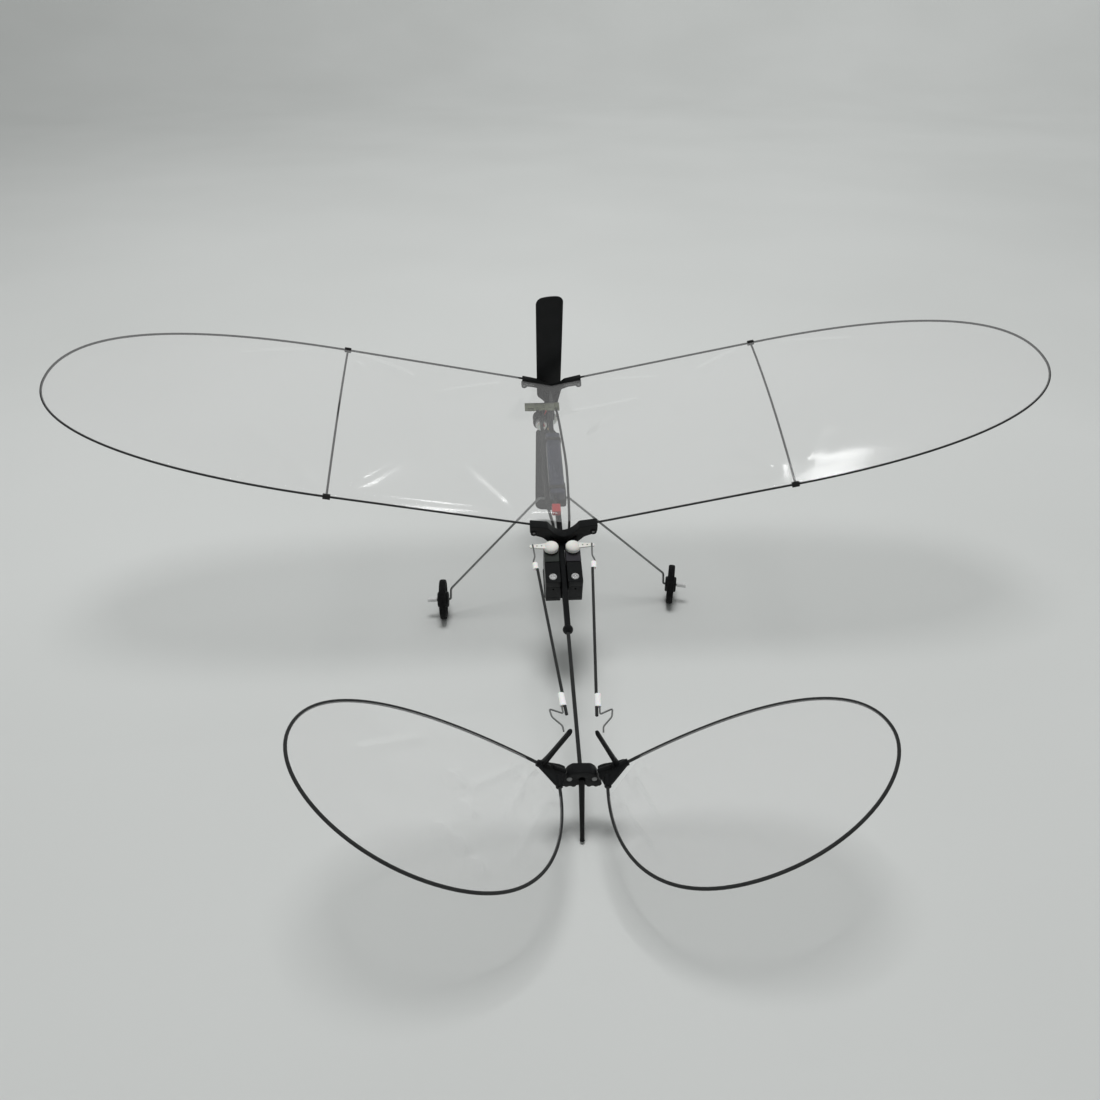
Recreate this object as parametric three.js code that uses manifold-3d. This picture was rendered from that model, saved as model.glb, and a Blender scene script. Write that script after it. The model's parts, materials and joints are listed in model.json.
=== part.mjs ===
// Ultralight indoor slow-flyer aeroplane: a film-covered wing and V-tail on bent carbon rod,
// a moulded stick fuselage, a geared propeller, two servos with pushrods, wheels and a skid.
// Millimetres. X points to the right wing tip, Y to the nose, Z up, and the floor is Z = 0.

import * as THREE from 'three';
import { mergeVertices } from 'three/addons/utils/BufferGeometryUtils.js';
import Module from 'manifold-3d';

const wasm = await Module();
wasm.setup();

// ---------------------------------------------------------------- driving dimensions

const lengthMiddleY = 3.5; // shifts the model so that Y = 0 is the middle of its length
const seatGap = 0.3; // between pieces that touch
const turnGap = 0.15; // around shafts and pins
const sides = [{ name: 'left', sign: -1 }, { name: 'right', sign: 1 }];

const spine = { x: -1, tailY: -15.4, tailZ: 43.4, pitch: 15.15, length: 148.4, halfWidth: 1.2 };
const spineDepth = { tail: 3.2, servo: 4.4, nose: 4.8 };
const tailCollarRadius = 2.2;

const boomRadius = 0.8;
const wingRodRadius = 0.5; // loops and ribs
const tailRodRadius = 0.6;
const pushrodRadius = 0.6;
const wireRadius = 0.4;
const legRadius = 0.55;
const wrapRadius = 1.3; // the wrapped joints between rib and loop, and the tail sockets
const filmThickness = 0.25;

const wing = {
  frontY: 123.6, frontZ: 95.2, rearY: 28.8, rearZ: 65.4, dihedral: 11.35, sweep: -0.009,
  rootHalf: 14.6, ribU: 103.5, tipU: 229.4, tipY: 70.8, frontBulge: 44, rearBulge: 36,
  handleFront: 51.5, handleRear: 52.9, camber: 4,
};

const tail = {
  hubX: -0.5, hubY: -77, hubZ: 23.3, roll: -2.6, dihedral: 27.3, incidence: 3, hingeV: -1,
  hubSide: 6.4, hornU: { left: 16.4, right: 14.6 }, hornLength: 20.5,
};

const propeller = { radius: 67, chord: 14, tipCorner: 3.4, downThrust: 6.75 };
const propHub = { s: 152.6, h: -10.2, radius: 3.2 };
const gears = { module: 0.25, spurTeeth: 36, pinionTeeth: 9, slack: 0.12, bearing: 128 };
const motor = { radius: 3, length: 9 };

const servo = { x: 4.8, width: 6.6, rear: 22.5, front: 44.6, top: 4, bottom: -9, shaft: 41, arm: 8.3 };
const wheel = {
  track: 115.9, y: 57.6, stagger: 3.4, radius: 10, hubRadius: 3.9, hubWidth: 5.6,
  toe: { left: 0, right: 12 }, // degrees that each wheel points outward
};
const skidTip = { y: -88.4, radius: 0.8 };

const colours = {
  moulding: 0x17191a, carbon: 0x2a2c2d, wire: 0x85888a, film: 0xdfe5e6, rubber: 0x1b1c1d,
  white: 0xe6e6e2, gearFrame: 0x202223, can: 0xb4b6b8, foil: 0x8f9aa6, board: 0x9a9a7c,
  red: 0xb02a30, lid: 0x35383c, clear: 0xd9dcd8,
};

// ---------------------------------------------------------------- points and frames

const radians = THREE.MathUtils.degToRad;
const vec = (x, y, z) => new THREE.Vector3(x, y, z);

const spineFrame = new THREE.Matrix4()
  .makeRotationX(radians(spine.pitch))
  .setPosition(spine.x, spine.tailY, spine.tailZ);

// A point on the spine's own axes: x to the right, s along the spine, h up from its middle.
const spinePoint = (x, s, h) => vec(x, s, h).applyMatrix4(spineFrame);

// A point on one wing panel: u out from the middle, y along the chord, lift above the rods.
function wingPoint(sign, u, y, lift = 0) {
  const across = radians(wing.dihedral);
  const share = (y - wing.rearY) / (wing.frontY - wing.rearY);
  const z = wing.rearZ + (wing.frontZ - wing.rearZ) * share;
  const point = vec(sign * u * Math.cos(across), y, z + u * Math.sin(across));
  const chordPitch = Math.atan2(wing.frontZ - wing.rearZ, wing.frontY - wing.rearY);
  const normal = vec(-sign * Math.sin(across), -Math.sin(chordPitch), Math.cos(across)).normalize();
  return point.addScaledVector(normal, lift);
}

// The axes of one tail surface: X along its span, Y forward in its plane, Z out of its plane.
function tailFrame(sign) {
  const rise = radians(tail.dihedral);
  const nose = radians(tail.incidence);
  const across = vec(Math.cos(rise), 0, sign * Math.sin(rise));
  const forward = vec(-sign * Math.sin(nose) * Math.sin(rise), Math.cos(nose), Math.sin(nose) * Math.cos(rise));
  const out = across.clone().cross(forward);
  const panel = new THREE.Matrix4().makeBasis(across, forward, out);
  const roll = new THREE.Matrix4().makeRotationY(radians(-tail.roll));
  return new THREE.Matrix4().makeTranslation(tail.hubX, tail.hubY, tail.hubZ).multiply(roll).multiply(panel);
}

const tailPoint = (sign, u, v, lift = 0) => vec(sign * u, v, lift).applyMatrix4(tailFrame(sign));

// ---------------------------------------------------------------- solids and booleans

function toSolid(geometry) {
  const bare = geometry.clone();
  bare.deleteAttribute('normal');
  bare.deleteAttribute('uv');
  const merged = mergeVertices(bare, 1e-4);
  const corners = merged.index.array;
  const triangles = [];
  for (let i = 0; i < corners.length; i += 3) {
    const [a, b, c] = [corners[i], corners[i + 1], corners[i + 2]];
    if (a !== b && b !== c && c !== a) triangles.push(a, b, c);
  }
  return new wasm.Manifold(new wasm.Mesh({
    numProp: 3,
    vertProperties: new Float32Array(merged.attributes.position.array),
    triVerts: new Uint32Array(triangles),
  }));
}

function toGeometry(solid) {
  const mesh = solid.getMesh();
  const geometry = new THREE.BufferGeometry();
  geometry.setAttribute('position', new THREE.BufferAttribute(mesh.vertProperties, mesh.numProp));
  geometry.setIndex(new THREE.BufferAttribute(mesh.triVerts, 1));
  geometry.computeVertexNormals();
  return geometry;
}

const join = (...pieces) => toGeometry(pieces.map(toSolid).reduce((sum, piece) => sum.add(piece)));

const cut = (body, ...tools) => toGeometry(
  tools.map(toSolid).reduce((rest, tool) => rest.subtract(tool), toSolid(body)),
);

// A box given by its lowest and highest corners.
function box([x0, y0, z0], [x1, y1, z1]) {
  const geometry = new THREE.BoxGeometry(x1 - x0, y1 - y0, z1 - z0);
  return geometry.translate((x0 + x1) / 2, (y0 + y1) / 2, (z0 + z1) / 2);
}

// A round bar or cone between two points.
function bar(from, to, radius, endRadius = radius, faces = 10) {
  const length = from.distanceTo(to);
  const geometry = new THREE.CylinderGeometry(endRadius, radius, length, faces);
  const direction = to.clone().sub(from).normalize();
  geometry.applyQuaternion(new THREE.Quaternion().setFromUnitVectors(vec(0, 1, 0), direction));
  const middle = from.clone().add(to).multiplyScalar(0.5);
  return geometry.translate(middle.x, middle.y, middle.z);
}

// A turned piece: the profile holds (radius, distance) pairs along +Y from the start point.
function turned(profile, faces = 20) {
  return new THREE.LatheGeometry(profile.map(([r, y]) => new THREE.Vector2(r, y)), faces);
}

// An outline in the X-Z plane, pushed out along Y from y0 to y1.
function plateAlongY(shape, y0, y1) {
  const geometry = new THREE.ExtrudeGeometry(shape, { depth: y1 - y0, bevelEnabled: false, curveSegments: 4 });
  return geometry.rotateX(Math.PI / 2).translate(0, y1, 0);
}

function outline(points) {
  return new THREE.Shape(points.map(([x, y]) => new THREE.Vector2(x, y)));
}

// A path that an extrusion follows through exactly these points.
class PointPath extends THREE.Curve {
  constructor(points) {
    super();
    this.points = points;
  }

  indexAt(t) {
    return Math.round(t * (this.points.length - 1));
  }

  getPoint(t, target = vec(0, 0, 0)) {
    return target.copy(this.points[this.indexAt(t)]);
  }

  getPointAt(t, target) {
    return this.getPoint(t, target);
  }

  getTangentAt(t, target = vec(0, 0, 0)) {
    const i = this.indexAt(t);
    const before = this.points[Math.max(i - 1, 0)];
    const after = this.points[Math.min(i + 1, this.points.length - 1)];
    return target.copy(after).sub(before).normalize();
  }
}

// A round rod through a list of points.
function rodThrough(points, radius, faces = 8) {
  const section = new THREE.Shape();
  for (let i = 0; i < faces; i += 1) {
    const angle = (2 * Math.PI * i) / faces;
    const corner = [radius * Math.cos(angle), radius * Math.sin(angle)];
    if (i === 0) section.moveTo(...corner);
    else section.lineTo(...corner);
  }
  const extrudePath = new PointPath(points);
  return new THREE.ExtrudeGeometry(section, { steps: points.length - 1, extrudePath });
}

// The corners of a bent wire, with each bend rounded.
function bentRoute(corners, bend, bendSteps = 4) {
  const points = [corners[0]];
  for (let i = 1; i < corners.length - 1; i += 1) {
    const toward = corners[i - 1].clone().sub(corners[i]).setLength(bend);
    const away = corners[i + 1].clone().sub(corners[i]).setLength(bend);
    const curve = new THREE.QuadraticBezierCurve3(
      corners[i].clone().add(toward), corners[i], corners[i].clone().add(away),
    );
    points.push(...curve.getPoints(bendSteps));
  }
  points.push(corners[corners.length - 1]);
  return points;
}

// A closed sheet: pointAt(i, j, lift) gives its surface on a grid of columns by rows.
function sheet(pointAt, columns, rows, thickness) {
  const positions = [];
  const triangles = [];
  const row = rows + 1;
  const layer = (columns + 1) * row;
  for (const lift of [0, thickness]) {
    for (let i = 0; i <= columns; i += 1) {
      for (let j = 0; j <= rows; j += 1) positions.push(...pointAt(i / columns, j / rows, lift).toArray());
    }
  }
  const quad = (a, b, c, d) => triangles.push(a, b, c, a, c, d);
  for (let i = 0; i < columns; i += 1) {
    for (let j = 0; j < rows; j += 1) {
      const a = i * row + j;
      quad(a, a + 1, a + row + 1, a + row);
      quad(layer + a, layer + a + row, layer + a + row + 1, layer + a + 1);
    }
  }
  for (let i = 0; i < columns; i += 1) {
    const low = i * row;
    const high = low + rows;
    quad(low, low + row, layer + low + row, layer + low);
    quad(high + row, high, layer + high, layer + high + row);
  }
  for (let j = 0; j < rows; j += 1) {
    const end = columns * row + j;
    quad(j + 1, j, layer + j, layer + j + 1);
    quad(end, end + 1, layer + end + 1, layer + end);
  }
  const geometry = new THREE.BufferGeometry();
  geometry.setAttribute('position', new THREE.Float32BufferAttribute(positions, 3));
  geometry.setIndex(triangles);
  geometry.computeVertexNormals();
  return orientOutward(geometry);
}

// A closed body through a row of sections that hold equally many points.
function loft(sections) {
  const count = sections[0].length;
  const positions = sections.flat().flatMap((point) => point.toArray());
  const triangles = [];
  for (let i = 0; i < sections.length - 1; i += 1) {
    for (let j = 0; j < count; j += 1) {
      const a = i * count + j;
      const b = i * count + ((j + 1) % count);
      triangles.push(a, b, b + count, a, b + count, a + count);
    }
  }
  const last = (sections.length - 1) * count;
  for (let j = 1; j < count - 1; j += 1) {
    triangles.push(0, j + 1, j);
    triangles.push(last, last + j, last + j + 1);
  }
  const geometry = new THREE.BufferGeometry();
  geometry.setAttribute('position', new THREE.Float32BufferAttribute(positions, 3));
  geometry.setIndex(triangles);
  geometry.computeVertexNormals();
  return orientOutward(geometry);
}

// Turns every face round if the body came out inside out.
function orientOutward(geometry) {
  const position = geometry.attributes.position;
  const index = geometry.index.array;
  const corner = (k) => vec(0, 0, 0).fromBufferAttribute(position, index[k]);
  let volume = 0;
  for (let i = 0; i < index.length; i += 3) volume += corner(i).dot(corner(i + 1).cross(corner(i + 2)));
  if (volume < 0) {
    for (let i = 0; i < index.length; i += 3) [index[i], index[i + 1]] = [index[i + 1], index[i]];
    geometry.computeVertexNormals();
  }
  return geometry;
}

// ---------------------------------------------------------------- scene graph helpers

const aeroplane = new THREE.Group();
aeroplane.position.y = -lengthMiddleY;

function frameGroup(matrix, parent = aeroplane) {
  const group = new THREE.Group();
  matrix.decompose(group.position, group.quaternion, group.scale);
  parent.add(group);
  return group;
}

const onSpine = frameGroup(spineFrame);

function addPiece(group, name, geometry, color, roughness = 0.5, metalness = 0) {
  const material = new THREE.MeshStandardMaterial({ color, roughness, metalness });
  const mesh = new THREE.Mesh(geometry, material);
  mesh.name = name;
  group.add(mesh);
  return mesh;
}

// ---------------------------------------------------------------- fuselage

function spineStick() {
  const tailHalf = spineDepth.tail / 2;
  const servoHalf = spineDepth.servo / 2;
  const noseHalf = spineDepth.nose / 2;
  const side = outline([
    [0, -tailHalf], [servo.rear, -servoHalf], [spine.length - 2, -noseHalf], [spine.length, 1 - noseHalf],
    [spine.length, noseHalf - 1], [spine.length - 2, noseHalf], [servo.rear, servoHalf], [0, tailHalf],
  ]);
  const stick = new THREE.ExtrudeGeometry(side, { depth: 2 * spine.halfWidth, bevelEnabled: false });
  stick.rotateY(Math.PI / 2).rotateX(Math.PI / 2);
  stick.translate(-spine.halfWidth, 0, 0);
  return stick;
}

const servoTray = { halfWidth: 8.4, rear: 25, front: 42, thickness: 1.2 };

function buildSpine() {
  const trayTop = servo.bottom - seatGap;
  const tray = box(
    [-servoTray.halfWidth, servoTray.rear, trayTop - servoTray.thickness],
    [servoTray.halfWidth, servoTray.front, trayTop],
  );
  const web = box([-1, servoTray.rear, trayTop - 0.5], [1, servoTray.front, 0]);
  const collar = new THREE.SphereGeometry(tailCollarRadius, 12, 8);
  const boomBore = bar(vec(0, -4, 0.2), vec(0, 10, 0.2), boomRadius + turnGap);
  addPiece(onSpine, 'spine', cut(join(spineStick(), tray, web, collar), boomBore), colours.moulding, 0.45);
}

const boomFront = spinePoint(0, 7, 0.2);
const boomRear = vec(tail.hubX, tail.hubY + 1, tail.hubZ + 0.3);

function buildBoom() {
  const collarMouth = spinePoint(0, -4, 0.2);
  addPiece(aeroplane, 'tail_boom', rodThrough([boomFront, collarMouth, boomRear], boomRadius, 10), colours.carbon, 0.35);
}

// ---------------------------------------------------------------- wing

// Where the loop rods run: straight from the bracket to the rib, then round the tip.
const sweptY = (y, u) => y + wing.sweep * u;
const frontRib = [wing.ribU, sweptY(wing.frontY, wing.ribU)];
const rearRib = [wing.ribU, sweptY(wing.rearY, wing.ribU)];

function tipCurve(edgeY, rib, handle, bulge) {
  const handleU = wing.ribU + handle;
  return new THREE.CubicBezierCurve(
    new THREE.Vector2(...rib),
    new THREE.Vector2(handleU, sweptY(edgeY, handleU)),
    new THREE.Vector2(wing.tipU, wing.tipY + bulge),
    new THREE.Vector2(wing.tipU, wing.tipY),
  );
}

const frontTip = tipCurve(wing.frontY, frontRib, wing.handleFront, wing.frontBulge);
const rearTip = tipCurve(wing.rearY, rearRib, wing.handleRear, -wing.rearBulge);

const bracketDepth = { front: 1.5, rear: 2.2 }; // half of each, along the spine
const loopStart = 8; // how far from the middle each rod ends, inside its bracket

function buildWingLoop({ name, sign }) {
  const steps = 13;
  const front = frontTip.getPoints(steps);
  const rear = rearTip.getPoints(steps).reverse().slice(1);
  const flat = [[loopStart, wing.frontY], ...[...front, ...rear].map((p) => [p.x, p.y]), [loopStart, wing.rearY]];
  const points = flat.map(([u, y]) => wingPoint(sign, u, y));
  addPiece(aeroplane, `${name}_wing_loop`, rodThrough(points, wingRodRadius), colours.carbon, 0.35);
}

const chordSteps = 6;
const ribLift = (share) => 4 * wing.camber * share * (1 - share);

// The rib is cambered, and each end is a wrapped joint that holds the loop rod.
function buildRib({ name, sign }) {
  const points = [];
  for (let i = 0; i <= chordSteps; i += 1) {
    const share = i / chordSteps;
    const y = THREE.MathUtils.lerp(frontRib[1], rearRib[1], share);
    points.push(wingPoint(sign, wing.ribU, y, ribLift(share)));
  }
  const pieces = [rodThrough(points, wingRodRadius)];
  for (const [u, y] of [frontRib, rearRib]) {
    const edgeY = y - wing.sweep * u;
    const along = (du) => wingPoint(sign, u + du, sweptY(edgeY, u + du));
    pieces.push(bar(along(-1.7), along(1.7), wrapRadius));
  }
  const channels = [frontRib, rearRib].map(([u, y]) => {
    const edgeY = y - wing.sweep * u;
    const along = (du) => wingPoint(sign, u + du, sweptY(edgeY, u + du));
    return bar(along(-6), along(6), wingRodRadius + seatGap);
  });
  addPiece(aeroplane, `${name}_wing_rib`, cut(join(...pieces), ...channels), colours.carbon, 0.4);
}

const filmLift = wrapRadius + 0.35; // above the middle of the rods, clear of the wrapped joints
const filmRoot = 16.2; // where each side film starts, clear of the brackets

function loopEdge(tip, edgeY, share) {
  const straight = 0.4; // share of the columns that lie between bracket and rib
  if (share < straight) {
    const u = THREE.MathUtils.lerp(filmRoot, wing.ribU, share / straight);
    return [u, sweptY(edgeY, u)];
  }
  const point = tip.getPoint(Math.min((share - straight) / (1 - straight), 0.985));
  return [point.x, point.y];
}

function camberAt(share) {
  const rib = 0.4;
  return share < rib ? 0.35 + 0.65 * (share / rib) : Math.cos(((share - rib) / (1 - rib)) * (Math.PI / 2));
}

function buildWingFilm({ name, sign }) {
  const pointAt = (column, row, lift) => {
    const [uFront, yFront] = loopEdge(frontTip, wing.frontY, column);
    const [uRear, yRear] = loopEdge(rearTip, wing.rearY, column);
    const u = THREE.MathUtils.lerp(uFront, uRear, row);
    const y = THREE.MathUtils.lerp(yFront, yRear, row);
    const share = (y - wing.rearY) / (wing.frontY - wing.rearY);
    const crown = camberAt(column) * 4 * wing.camber * row * (1 - row);
    const overRib = column > 0.3 && column < 0.5 ? ribLift(THREE.MathUtils.clamp(share, 0, 1)) : 0;
    return wingPoint(sign, u, y, filmLift + Math.max(crown, overRib) + lift);
  };
  addPiece(aeroplane, `${name}_wing_film`, sheet(pointAt, 15, chordSteps, filmThickness), colours.film, 0.15);
}

// The strip of film between the two brackets, following the valley of the dihedral.
function buildCentreFilm() {
  const reach = filmRoot - 0.4;
  const frontEdge = wing.frontY - 5;
  const rearEdge = wing.rearY + 6;
  const pointAt = (column, row, lift) => {
    const u = THREE.MathUtils.lerp(-reach, reach, column);
    const y = THREE.MathUtils.lerp(frontEdge, rearEdge, row);
    const crown = 0.35 * 4 * wing.camber * row * (1 - row);
    const valley = 1.6 * (1 - Math.abs(u) / reach);
    return wingPoint(u < 0 ? -1 : 1, Math.abs(u), y, filmLift + crown + valley + lift);
  };
  addPiece(aeroplane, 'centre_wing_film', sheet(pointAt, 6, 4, filmThickness), colours.film, 0.15);
}

// Half of a bracket's outline in x and h, mirrored to make the whole.
function bracketShape(half, archMiddle) {
  const shape = new THREE.Shape();
  shape.moveTo(half[0][0], half[0][1]);
  half.slice(1).forEach(([x, h]) => shape.lineTo(x, h));
  shape.quadraticCurveTo(half[half.length - 1][0] * 0.45, archMiddle, 0, archMiddle);
  const mirrored = half.map(([x, h]) => [-x, h]).reverse();
  shape.quadraticCurveTo(mirrored[0][0] * 0.45, archMiddle, mirrored[0][0], mirrored[0][1]);
  mirrored.slice(1).forEach(([x, h]) => shape.lineTo(x, h));
  return shape;
}

// The space that the stick takes, on its own axes.
function spineClearance(s0, s1, halfDepth) {
  const halfWidth = spine.halfWidth + seatGap;
  return box([-halfWidth, s0, -halfDepth - seatGap], [halfWidth, s1, halfDepth + seatGap]);
}

// The line of one loop rod near the middle, on the spine's axes.
function rodBore(sign, edgeY) {
  const toSpine = spineFrame.clone().invert();
  const inner = wingPoint(sign, loopStart - 1, edgeY).applyMatrix4(toSpine);
  const outer = wingPoint(sign, wing.rootHalf + 6, sweptY(edgeY, wing.rootHalf + 6)).applyMatrix4(toSpine);
  return bar(inner, outer, wingRodRadius + turnGap);
}

function slantedSlot(sign, { inner: [x0, h0], outer: [x1, h1], height }, s0, s1) {
  const corners = [[x0, h0], [x1, h1], [x1, h1 + height], [x0, h0 + height]];
  return plateAlongY(outline(corners.map(([x, h]) => [sign * x - spine.x, h])), s0, s1);
}

function buildWingBracket(name, edgeY, s, halfDepth, half, archMiddle, slot, spineHalf) {
  const [s0, s1] = [s - halfDepth, s + halfDepth];
  const body = plateAlongY(bracketShape(half, archMiddle), s0, s1).translate(-spine.x, 0, 0);
  const pivot = (sign, y) => vec(sign * slot.boss[0] - spine.x, y, slot.boss[1]);
  const bosses = [-1, 1].map((sign) => bar(pivot(sign, s0 - 0.4), pivot(sign, s1), 1.5, 1.5, 12));
  const tools = [spineClearance(s0 - 1, s1 + 1, spineHalf)];
  for (const sign of [-1, 1]) {
    tools.push(rodBore(sign, edgeY));
    tools.push(slantedSlot(sign, slot, s0 - 1, s1 + 1));
    tools.push(bar(pivot(sign, s0 - 1), pivot(sign, s0 + 0.8), 0.7));
  }
  addPiece(onSpine, name, cut(join(body, ...bosses), ...tools), colours.moulding, 0.45);
}

function buildWingBrackets() {
  const frontHalf = [[3.4, -1.6], [3.6, 3], [5.2, 11], [8.6, 12.4], [13.2, 13.2], [15, 14.6], [15, 18.2], [6.6, 16]];
  const frontSlot = { inner: [1.6, 6.8], outer: [3.8, 9.2], height: 1.5, boss: [14, 13.9] };
  buildWingBracket('front_wing_bracket', wing.frontY, 147.3, bracketDepth.front, frontHalf, 12.6, frontSlot, 2.4);
  const rearHalf = [[3.4, -2.6], [4, 0.2], [9.4, 6.2], [12.6, 7.6], [15, 9.4], [15, 13.6], [7, 12.4]];
  const rearSlot = { inner: [2.6, 3.4], outer: [6, 6.4], height: 1.1, boss: [13.2, 9.4] };
  buildWingBracket('rear_wing_bracket', wing.rearY, 48.6, bracketDepth.rear, rearHalf, 6.8, rearSlot, 2.26);
}

// ---------------------------------------------------------------- power unit

const powerFrame = new THREE.Matrix4()
  .makeRotationX(radians(-propeller.downThrust))
  .setPosition(0, propHub.s, propHub.h);
const onPower = frameGroup(powerFrame, onSpine);

const shaftRadius = 0.5;
const pitchRadius = (teeth) => (teeth * gears.module) / 2;
const gearDistance = pitchRadius(gears.spurTeeth) + pitchRadius(gears.pinionTeeth) + gears.slack;
// The motor lies above the shaft and to the left, at this bearing from straight down.
const motorX = -gearDistance * Math.sin(radians(gears.bearing));
const motorZ = -gearDistance * Math.cos(radians(gears.bearing));

// One blade section: a thin cambered plank of this chord at this angle, at radius r on +Z.
function bladeSection(r, chord, angle, thickness) {
  const twist = radians(angle);
  const arch = [[0.5, 0, 0], [0.25, 0.75, 0.5], [-0.25, 0.8, 0.5], [-0.5, 0, 0]];
  const upper = arch.map(([c, lift]) => [c * chord, (lift + 0.25) * thickness]);
  const lower = arch.map(([c, lift]) => [c * chord, (lift * 0.35 - 0.25) * thickness]).reverse();
  return [...upper, ...lower].map(([c, t]) => vec(
    c * Math.cos(twist) - t * Math.sin(twist), c * Math.sin(twist) + t * Math.cos(twist), r,
  ));
}

function bladeChord(r) {
  const cornerStart = propeller.radius - propeller.tipCorner;
  if (r < 14) return THREE.MathUtils.lerp(4.5, propeller.chord, THREE.MathUtils.smoothstep(r, 7, 14));
  if (r < cornerStart) return propeller.chord;
  const into = r - cornerStart;
  return propeller.chord - 2 * (propeller.tipCorner - Math.sqrt(propeller.tipCorner ** 2 - into ** 2));
}

const bladeAngle = (r) => THREE.MathUtils.lerp(26, 11, THREE.MathUtils.clamp((r - 10) / 57, 0, 1));

function blade() {
  const cornerStart = propeller.radius - propeller.tipCorner;
  const radii = [0, 6, 8.5, 11, 14, 22, 32, 42, 53, cornerStart];
  for (const share of [0.4, 0.7, 0.9, 0.98]) radii.push(cornerStart + share * propeller.tipCorner);
  return loft(radii.map((r) => {
    const thickness = THREE.MathUtils.lerp(2, 0.7, THREE.MathUtils.clamp(r / 40, 0, 1));
    return bladeSection(r, bladeChord(r), bladeAngle(r), thickness);
  }));
}

function buildPropeller() {
  const hub = turned([[0, -2.6], [propHub.radius, -2.6], [propHub.radius, 1.6], [2.2, 3.2], [0, 3.6]], 20);
  const upper = blade();
  const lower = blade().rotateY(Math.PI);
  const bore = bar(vec(0, -4, 0), vec(0, 2, 0), shaftRadius + turnGap);
  addPiece(onPower, 'propeller', cut(join(hub, upper, lower), bore), colours.moulding, 0.35);
  addPiece(onPower, 'propeller_shaft', bar(vec(0, -15.5, 0), vec(0, 1.8, 0), shaftRadius), colours.wire, 0.3, 0.9);
}

// A spur gear's outline with narrow, blunt teeth; one tooth starts at the given angle.
function gearShape(teeth, firstAngle) {
  const pitch = pitchRadius(teeth);
  const tip = pitch + 0.75 * gears.module;
  const root = pitch - 1.15 * gears.module;
  const shape = new THREE.Shape();
  for (let i = 0; i < teeth; i += 1) {
    const middle = firstAngle + (2 * Math.PI * i) / teeth;
    const step = (2 * Math.PI) / teeth;
    for (const [radius, share] of [[root, -0.3], [tip, -0.12], [tip, 0.12], [root, 0.3]]) {
      const angle = middle + share * step;
      const corner = [radius * Math.cos(angle), radius * Math.sin(angle)];
      if (i === 0 && share === -0.3) shape.moveTo(...corner);
      else shape.lineTo(...corner);
    }
  }
  return shape;
}

function gearWheel(teeth, firstAngle, boreRadius, y0, y1) {
  const shape = gearShape(teeth, firstAngle);
  shape.holes.push(new THREE.Path().absarc(0, 0, boreRadius, 0, 2 * Math.PI, true));
  return plateAlongY(shape, y0, y1);
}

function buildGears() {
  const [y0, y1] = [-5.8, -4.6];
  const towardMotor = Math.atan2(motorZ, motorX);
  const spurStep = (2 * Math.PI) / gears.spurTeeth;
  const spur = gearWheel(gears.spurTeeth, towardMotor + spurStep / 2, shaftRadius + turnGap, y0, y1);
  const web = [];
  for (let i = 0; i < 5; i += 1) {
    const angle = (2 * Math.PI * i) / 5 + 0.3;
    const middle = vec(2.7 * Math.cos(angle), 0, 2.7 * Math.sin(angle));
    web.push(bar(middle.clone().setY(y0 - 1), middle.clone().setY(y1 + 1), 0.8, 0.8, 8));
  }
  const collar = cut(bar(vec(0, y1 - 0.2, 0), vec(0, -2.9, 0), 1.3), bar(vec(0, -8, 0), vec(0, 0, 0), shaftRadius + turnGap));
  addPiece(onPower, 'spur_gear', join(cut(spur, ...web), collar), colours.white, 0.5);
  const pinion = gearWheel(gears.pinionTeeth, towardMotor + Math.PI, 0.3, y0 - 0.3, y1 + 0.3);
  const plug = bar(vec(0, -9.2, 0), vec(0, y1, 0), 0.4, 0.4, 10);
  const piece = join(pinion, plug).translate(motorX, 0, motorZ);
  addPiece(onPower, 'motor_pinion', piece, 0xc9a24a, 0.35, 0.8);
}

function buildMotor() {
  const front = -8;
  const rear = front - motor.length;
  const can = turned([[0, rear], [motor.radius - 0.3, rear], [motor.radius, rear + 0.3],
    [motor.radius, front - 0.3], [motor.radius - 0.3, front], [0, front]], 20);
  const shaftHole = bar(vec(0, front - 1.6, 0), vec(0, front + 1, 0), 0.4 + turnGap, 0.4 + turnGap, 10);
  addPiece(onPower, 'motor_can', cut(can, shaftHole).translate(motorX, 0, motorZ), colours.can, 0.3, 0.9);
  const cap = turned([[0, rear - 1.6], [1.2, rear - 1.6], [1.2, rear - 1], [motor.radius - 0.3, rear - 1],
    [motor.radius - 0.3, rear - seatGap], [0, rear - seatGap]], 20);
  addPiece(onPower, 'motor_end_cap', cap.translate(motorX, 0, motorZ), colours.white, 0.5);
}

// The frame carries the shaft, clips round the motor and forks over the spine's nose.
function buildGearbox() {
  const [rear, front] = [-14.5, -6.6];
  const grip = motor.radius + seatGap;
  const clip = bar(vec(motorX, rear, motorZ), vec(motorX, front - 2.2, motorZ), grip + 0.9, grip + 0.9, 20);
  const bearing = bar(vec(0, rear, 0), vec(0, front, 0), 1.4, 1.4, 12);
  const bridge = box([-0.6, rear, 0], [1.8, front - 2.2, 8]);
  const fork = box([-2.5, rear, 5.2], [2.5, front - 2.2, 9.4]);
  const clearances = [
    bar(vec(motorX, rear - 1, motorZ), vec(motorX, front + 1, motorZ), grip, grip, 20),
    bar(vec(0, rear - 1, 0), vec(0, front + 1, 0), shaftRadius + turnGap),
    spineClearance(spine.length - 40, spine.length + 4, spineDepth.nose / 2)
      .applyMatrix4(powerFrame.clone().invert()),
  ];
  addPiece(onPower, 'gearbox_frame', cut(join(clip, bearing, bridge, fork), ...clearances), colours.gearFrame, 0.5);
}

// ---------------------------------------------------------------- electrics

const battery = { rear: 73, front: 116, halfWidth: 3.6, bottom: 2.9, top: 8 };
const board = { rear: 138.6, front: 144.6, left: -13, right: 5, bottom: 2.9, top: 4.3 };

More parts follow.
